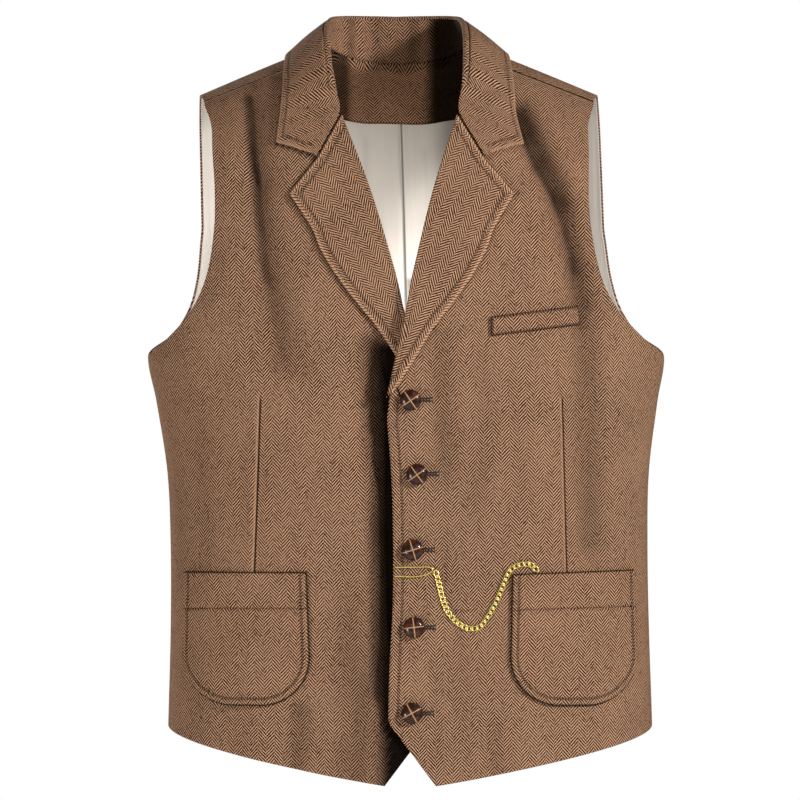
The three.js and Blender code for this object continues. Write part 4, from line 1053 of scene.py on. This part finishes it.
def cord_thread(name, tone):
    material, shader, base = finish(name, {"Roughness": 0.7, "Sheen Weight": 0.2})
    twist = base.noise(2200.0)
    face = twist.blend(shade_of(tone, 0.55), tone)
    connect(base.tree, shader, Base_Color=face, Normal=twist.bump(0.5, 0.0003))
    return material


button_leather, tan_cord = leather(), cord_thread("tan_cord", colour(208, 154, 102))


def set_on(side, x, z, out):
    """Matrix that sets a piece made round the origin, facing up, on the front at a spot."""
    place = place_at(x, z)
    base = cloth_point(-1, side, place, np.array(out)) / 1000
    ahead = Vector(cloth_point(-1, side, place, np.array(out + 1.0)) / 1000 - base).normalized()
    turn = ahead.to_track_quat("Z", "Y")
    return Matrix.Translation(Vector(base)) @ turn.to_matrix().to_4x4()


def active(name):
    piece = bpy.context.object
    piece.name = piece.data.name = name
    return piece


def choose_faces(mesh, way):
    """Selects the faces that look up for 1 and down for -1."""
    bpy.ops.mesh.select_all(action="DESELECT")
    edit = bmesh.from_edit_mesh(mesh)
    for face in edit.faces:
        face.select = face.normal.z * way > 0.9
    bmesh.update_edit_mesh(mesh)


def wire(name, points, radius, sides, steps):
    """A round wire through some points, as a curve."""
    curve = bpy.data.curves.new(name, "CURVE")
    curve.dimensions = "3D"
    curve.use_fill_caps = True
    curve.bevel_depth, curve.bevel_resolution, curve.resolution_u = radius, sides, steps
    spline = curve.splines.new("BEZIER")
    spline.bezier_points.add(len(points) - 1)
    for knot, point in zip(spline.bezier_points, points):
        knot.co = point
        knot.handle_left_type = knot.handle_right_type = "AUTO"
    return add_object(name, curve)


def made_solid(*wires):
    """Turns wires into meshes and leaves them selected."""
    bpy.ops.object.select_all(action="DESELECT")
    for strand in wires:
        strand.select_set(True)
        bpy.context.view_layer.objects.active = strand
    bpy.ops.object.convert(target="MESH")
    return bpy.context.selected_objects


def cord_points(angle, dome_top):
    """A bent cord over the dome, with both of its ends sunk."""
    points = []
    for k in range(CORD_KNOTS):
        s = CORD_REACH * (-1 + 2 * k / (CORD_KNOTS - 1))
        out = 1.01 * BUTTON_RADIUS * math.sin(s * QUARTER)
        sunk = CORD_SINK if k in (0, CORD_KNOTS - 1) else 0
        height = CORD_FOOT + (dome_top - 3.1e-3) * max(math.cos(s * QUARTER), 0) ** 0.7 - sunk
        points.append((out * math.cos(angle), out * math.sin(angle), height))
    return points


bpy.ops.object.select_all(action="DESELECT")
bpy.ops.mesh.primitive_cylinder_add(vertices=40, radius=BUTTON_RADIUS, depth=DISC_THICKNESS,
                                    location=(0, 0, DISC_MIDDLE))
dome = active("button_dome")
bpy.ops.object.transform_apply(location=True, rotation=False, scale=False)
bpy.ops.object.mode_set(mode="EDIT")
bpy.ops.mesh.select_mode(type="FACE")
choose_faces(dome.data, 1)
for inward, rise in CROWN_STEPS:
    bpy.ops.mesh.inset(thickness=inward, depth=rise)
choose_faces(dome.data, -1)
for inward, rise in SHANK_STEPS:
    bpy.ops.mesh.inset(thickness=inward, depth=rise)
bpy.ops.mesh.extrude_region_move(TRANSFORM_OT_translate={"value": (0, 0, -SHANK_LENGTH)})
bpy.ops.object.mode_set(mode="OBJECT")
smooth = dome.modifiers.new("round", "SUBSURF")
smooth.levels = smooth.render_levels = 1
bpy.ops.object.modifier_apply(modifier=smooth.name)
bpy.ops.object.shade_smooth()
dome.data.materials.append(button_leather)
dome.data.materials.append(tan_cord)
dome_top = max(v.co.z for v in dome.data.vertices)
cords = [wire("cross_cord", cord_points(angle, dome_top), CORD_RADIUS, 2, 6) for angle in (0, math.pi / 2)]
for strand in made_solid(*cords):
    strand.data.materials.clear()
    strand.data.materials.append(button_leather)
    strand.data.materials.append(tan_cord)
    strand.data.polygons.foreach_set("material_index", np.ones(len(strand.data.polygons), int))
dome.select_set(True)
bpy.context.view_layer.objects.active = dome
bpy.ops.object.join()
for i, (x, z) in enumerate(BUTTON_SPOTS):
    mesh = dome.data.copy()
    mesh.transform(set_on(1, x, z, 0.0) @ Matrix.Rotation(BUTTON_TURNS[i], 4, "Z"))
    mark(add_object(f"button_{i + 1}_leather", mesh), "leather", f"button_{i + 1}")
bpy.data.objects.remove(dome)

# Buttonholes: a slit worked round with dark brown thread, running from each button's middle away
# from the edge, and ended by a wider eye with a tan stitch.
dark_thread = cord_thread("dark_thread", colour(48, 30, 20))
HOLE_LENGTH, HOLE_HALF_WIDTH, EYE_SPREAD, HOLE_LIFT = 19.78, 1.05, 0.7, 0.22
PAIRS, PAIR_FACES = 27, 40  # pairs of stitches, and the faces of one pair
STITCH = (0.46e-3, 1.05e-3, 0.36e-3)
for i, (x, z) in enumerate(BUTTON_SPOTS):
    stitches = bmesh.new()
    for k in range(PAIRS):
        for row in (-1, 1):
            s = k / (PAIRS - 1)
            spread = (1.0 + EYE_SPREAD * math.exp(-((s - 1) * 9) ** 2)) * row
            at = set_on(1, x + s * HOLE_LENGTH, z + HOLE_HALF_WIDTH * spread, HOLE_LIFT)
            shape = Matrix.Diagonal((*STITCH, 1))
            bmesh.ops.create_icosphere(stitches, subdivisions=1, radius=1.0, matrix=at @ shape)
    mesh = bpy.data.meshes.new(f"buttonhole_{i + 1}")
    stitches.to_mesh(mesh)
    stitches.free()
    mesh.polygons.foreach_set("use_smooth", np.ones(len(mesh.polygons), bool))
    mesh.materials.append(dark_thread)
    mesh.materials.append(tan_cord)
    kind = np.zeros(len(mesh.polygons), int)
    kind[-PAIR_FACES:] = 1
    mesh.polygons.foreach_set("material_index", kind)
    mark(add_object(f"buttonhole_{i + 1}", mesh), "tweed")

# Watch chain: flattened gold links hung in a loop into the left pocket from a wire hook, which
# passes over the front edge.
CHAIN_PATH = [(22.6, -425.4), (25.5, -437), (28, -448), (32, -459), (39, -468), (48, -473.6), (55, -474.5),
              (61, -472), (67, -464), (74, -452), (80, -438), (85.6, -425.4), (93.5, -420), (103, -419.8),
              (109.3, -424.7)]
LINKS, CHAIN_LIFT, LINK_TILT = 34, 2.1, math.radians(17)
LINK_RADIUS, LINK_WIRE, LINK_STRETCH = 1.95e-3, 0.4e-3, (1.58, 1.02, 0.85)
HOOK_PATH = [(-12.3, -429.5), (10, -429.3), (17.5, -426.4), (20, -423.6), (17.5, -421.9), (10, -421.7),
             (-12.3, -422)]
HOOK_RADIUS, HOOK_LIFT = 0.6e-3, 1.75


def gold():
    material, shader, base = finish("gold", {"Metallic": 0.88})
    rubbed = base.noise(420.0)
    face = rubbed.blend(colour(238, 200, 84), colour(255, 243, 158))
    connect(base.tree, shader, Base_Color=face, Roughness=rubbed * 0.16 + 0.24)
    return material


gold_metal = gold()
path = along_rows(CHAIN_PATH, np.linspace(0, len(CHAIN_PATH) - 1, 600))
reached = reach(path)
bpy.ops.object.select_all(action="DESELECT")
bpy.ops.mesh.primitive_torus_add(major_radius=LINK_RADIUS, minor_radius=LINK_WIRE, major_segments=20,
                                 minor_segments=8)
link = active("chain_link")
bpy.ops.object.mode_set(mode="EDIT")
bpy.ops.mesh.select_all(action="SELECT")
bpy.ops.transform.resize(value=LINK_STRETCH)
bpy.ops.object.mode_set(mode="OBJECT")
bpy.ops.object.shade_smooth()
chain = bmesh.new()
for k in range(LINKS):
    at = (k + 0.5) * (reached[-1] / LINKS)
    x, z = (np.interp(at, reached, path[:, c]) for c in (0, 1))
    x2, z2 = (np.interp(at + 1, reached, path[:, c]) for c in (0, 1))
    place = set_on(1, x, z, CHAIN_LIFT)
    ahead = set_on(1, x2, z2, CHAIN_LIFT).translation - place.translation
    up = place.to_3x3() @ Vector((0, 0, 1))
    ahead = (ahead - up * ahead.dot(up)).normalized()
    turn = Matrix((ahead, up.cross(ahead), up)).transposed().to_4x4()
    copy = link.data.copy()
    copy.transform(Matrix.Translation(place.translation) @ turn @ Matrix.Rotation(LINK_TILT, 4, "X"))
    chain.from_mesh(copy)
    bpy.data.meshes.remove(copy)
bpy.data.objects.remove(link)
mesh = bpy.data.meshes.new("watch_chain_links")
chain.to_mesh(mesh)
chain.free()
mesh.materials.append(gold_metal)
mark(add_object("watch_chain_links", mesh), "gold", "watch_chain")
hook = [set_on(1, x, z, HOOK_LIFT).translation for x, z in HOOK_PATH]
piece = made_solid(wire("chain_hook_wire", hook, HOOK_RADIUS, 3, 8))[0]
piece.data.materials.clear()
piece.data.materials.append(gold_metal)
bpy.ops.object.shade_smooth()
mark(piece, "gold", "chain_hook")

# Studio: a floor at standing height below the shoulders, in a room that is white to the camera and
# weak as light. The key stands in front on the right, with weaker lamps in front and on the left, one
# behind, and a small one inside that lights the lining and that the camera doesn't see.
FLOOR_Z, FLOOR_RADIUS = -1.4, 2.4
MIDDLE = (0, 0, -0.3)


def plain_white():
    material, shader, base = finish("studio_white", {"Roughness": 0.9})
    face = (base.noise(3.0) * 0.02 + 0.5).blend(colour(238, 238, 238), colour(250, 250, 250))
    connect(base.tree, shader, Base_Color=face)
    return material


def area_light(name, position, aim, size, power):
    lamp = bpy.data.lights.new(name, "AREA")
    lamp.size, lamp.energy = size, power
    holder = add_object(name, lamp)
    holder.location = position
    holder.rotation_euler = (Vector(aim) - Vector(position)).to_track_quat("-Z", "Y").to_euler()
    return holder


bpy.ops.object.select_all(action="DESELECT")
bpy.ops.mesh.primitive_circle_add(vertices=96, radius=FLOOR_RADIUS, fill_type="NGON",
                                  location=(0, 0, FLOOR_Z))
studio = active("studio_floor")
studio.data.transform(Matrix.Translation((0, 0, FLOOR_Z)))
studio.location = (0, 0, 0)
studio.data.materials.append(plain_white())
area_light("key", (2.35, -2.05, 0.8), MIDDLE, 0.45, 100)
area_light("fill", (-0.2, -3.4, 0.0), MIDDLE, 1.2, 8)
area_light("side_fill", (-2.1, -2.1, -1.2), MIDDLE, 1.0, 48)
inside = area_light("lining_fill", (0.0, -0.07, -0.25), (0, 0.1, -0.25), 0.16, 0.28)
inside.data.spread = 2.0
inside.visible_camera = False
area_light("back_fill", (-1.6, 2.6, 1.0), MIDDLE, 0.7, 80)
world = bpy.data.worlds.new("soft_room")
world.use_nodes = True
white = Value(world.node_tree).node("LightPath") * 0.9 + 0.1
background = world.node_tree.nodes["Background"]
world.node_tree.links.new(white.socket, background.inputs["Strength"])
background.inputs["Color"].default_value = (1, 1, 1, 1)
bpy.context.scene.world = world
bpy.context.scene.view_settings.view_transform = "Standard"
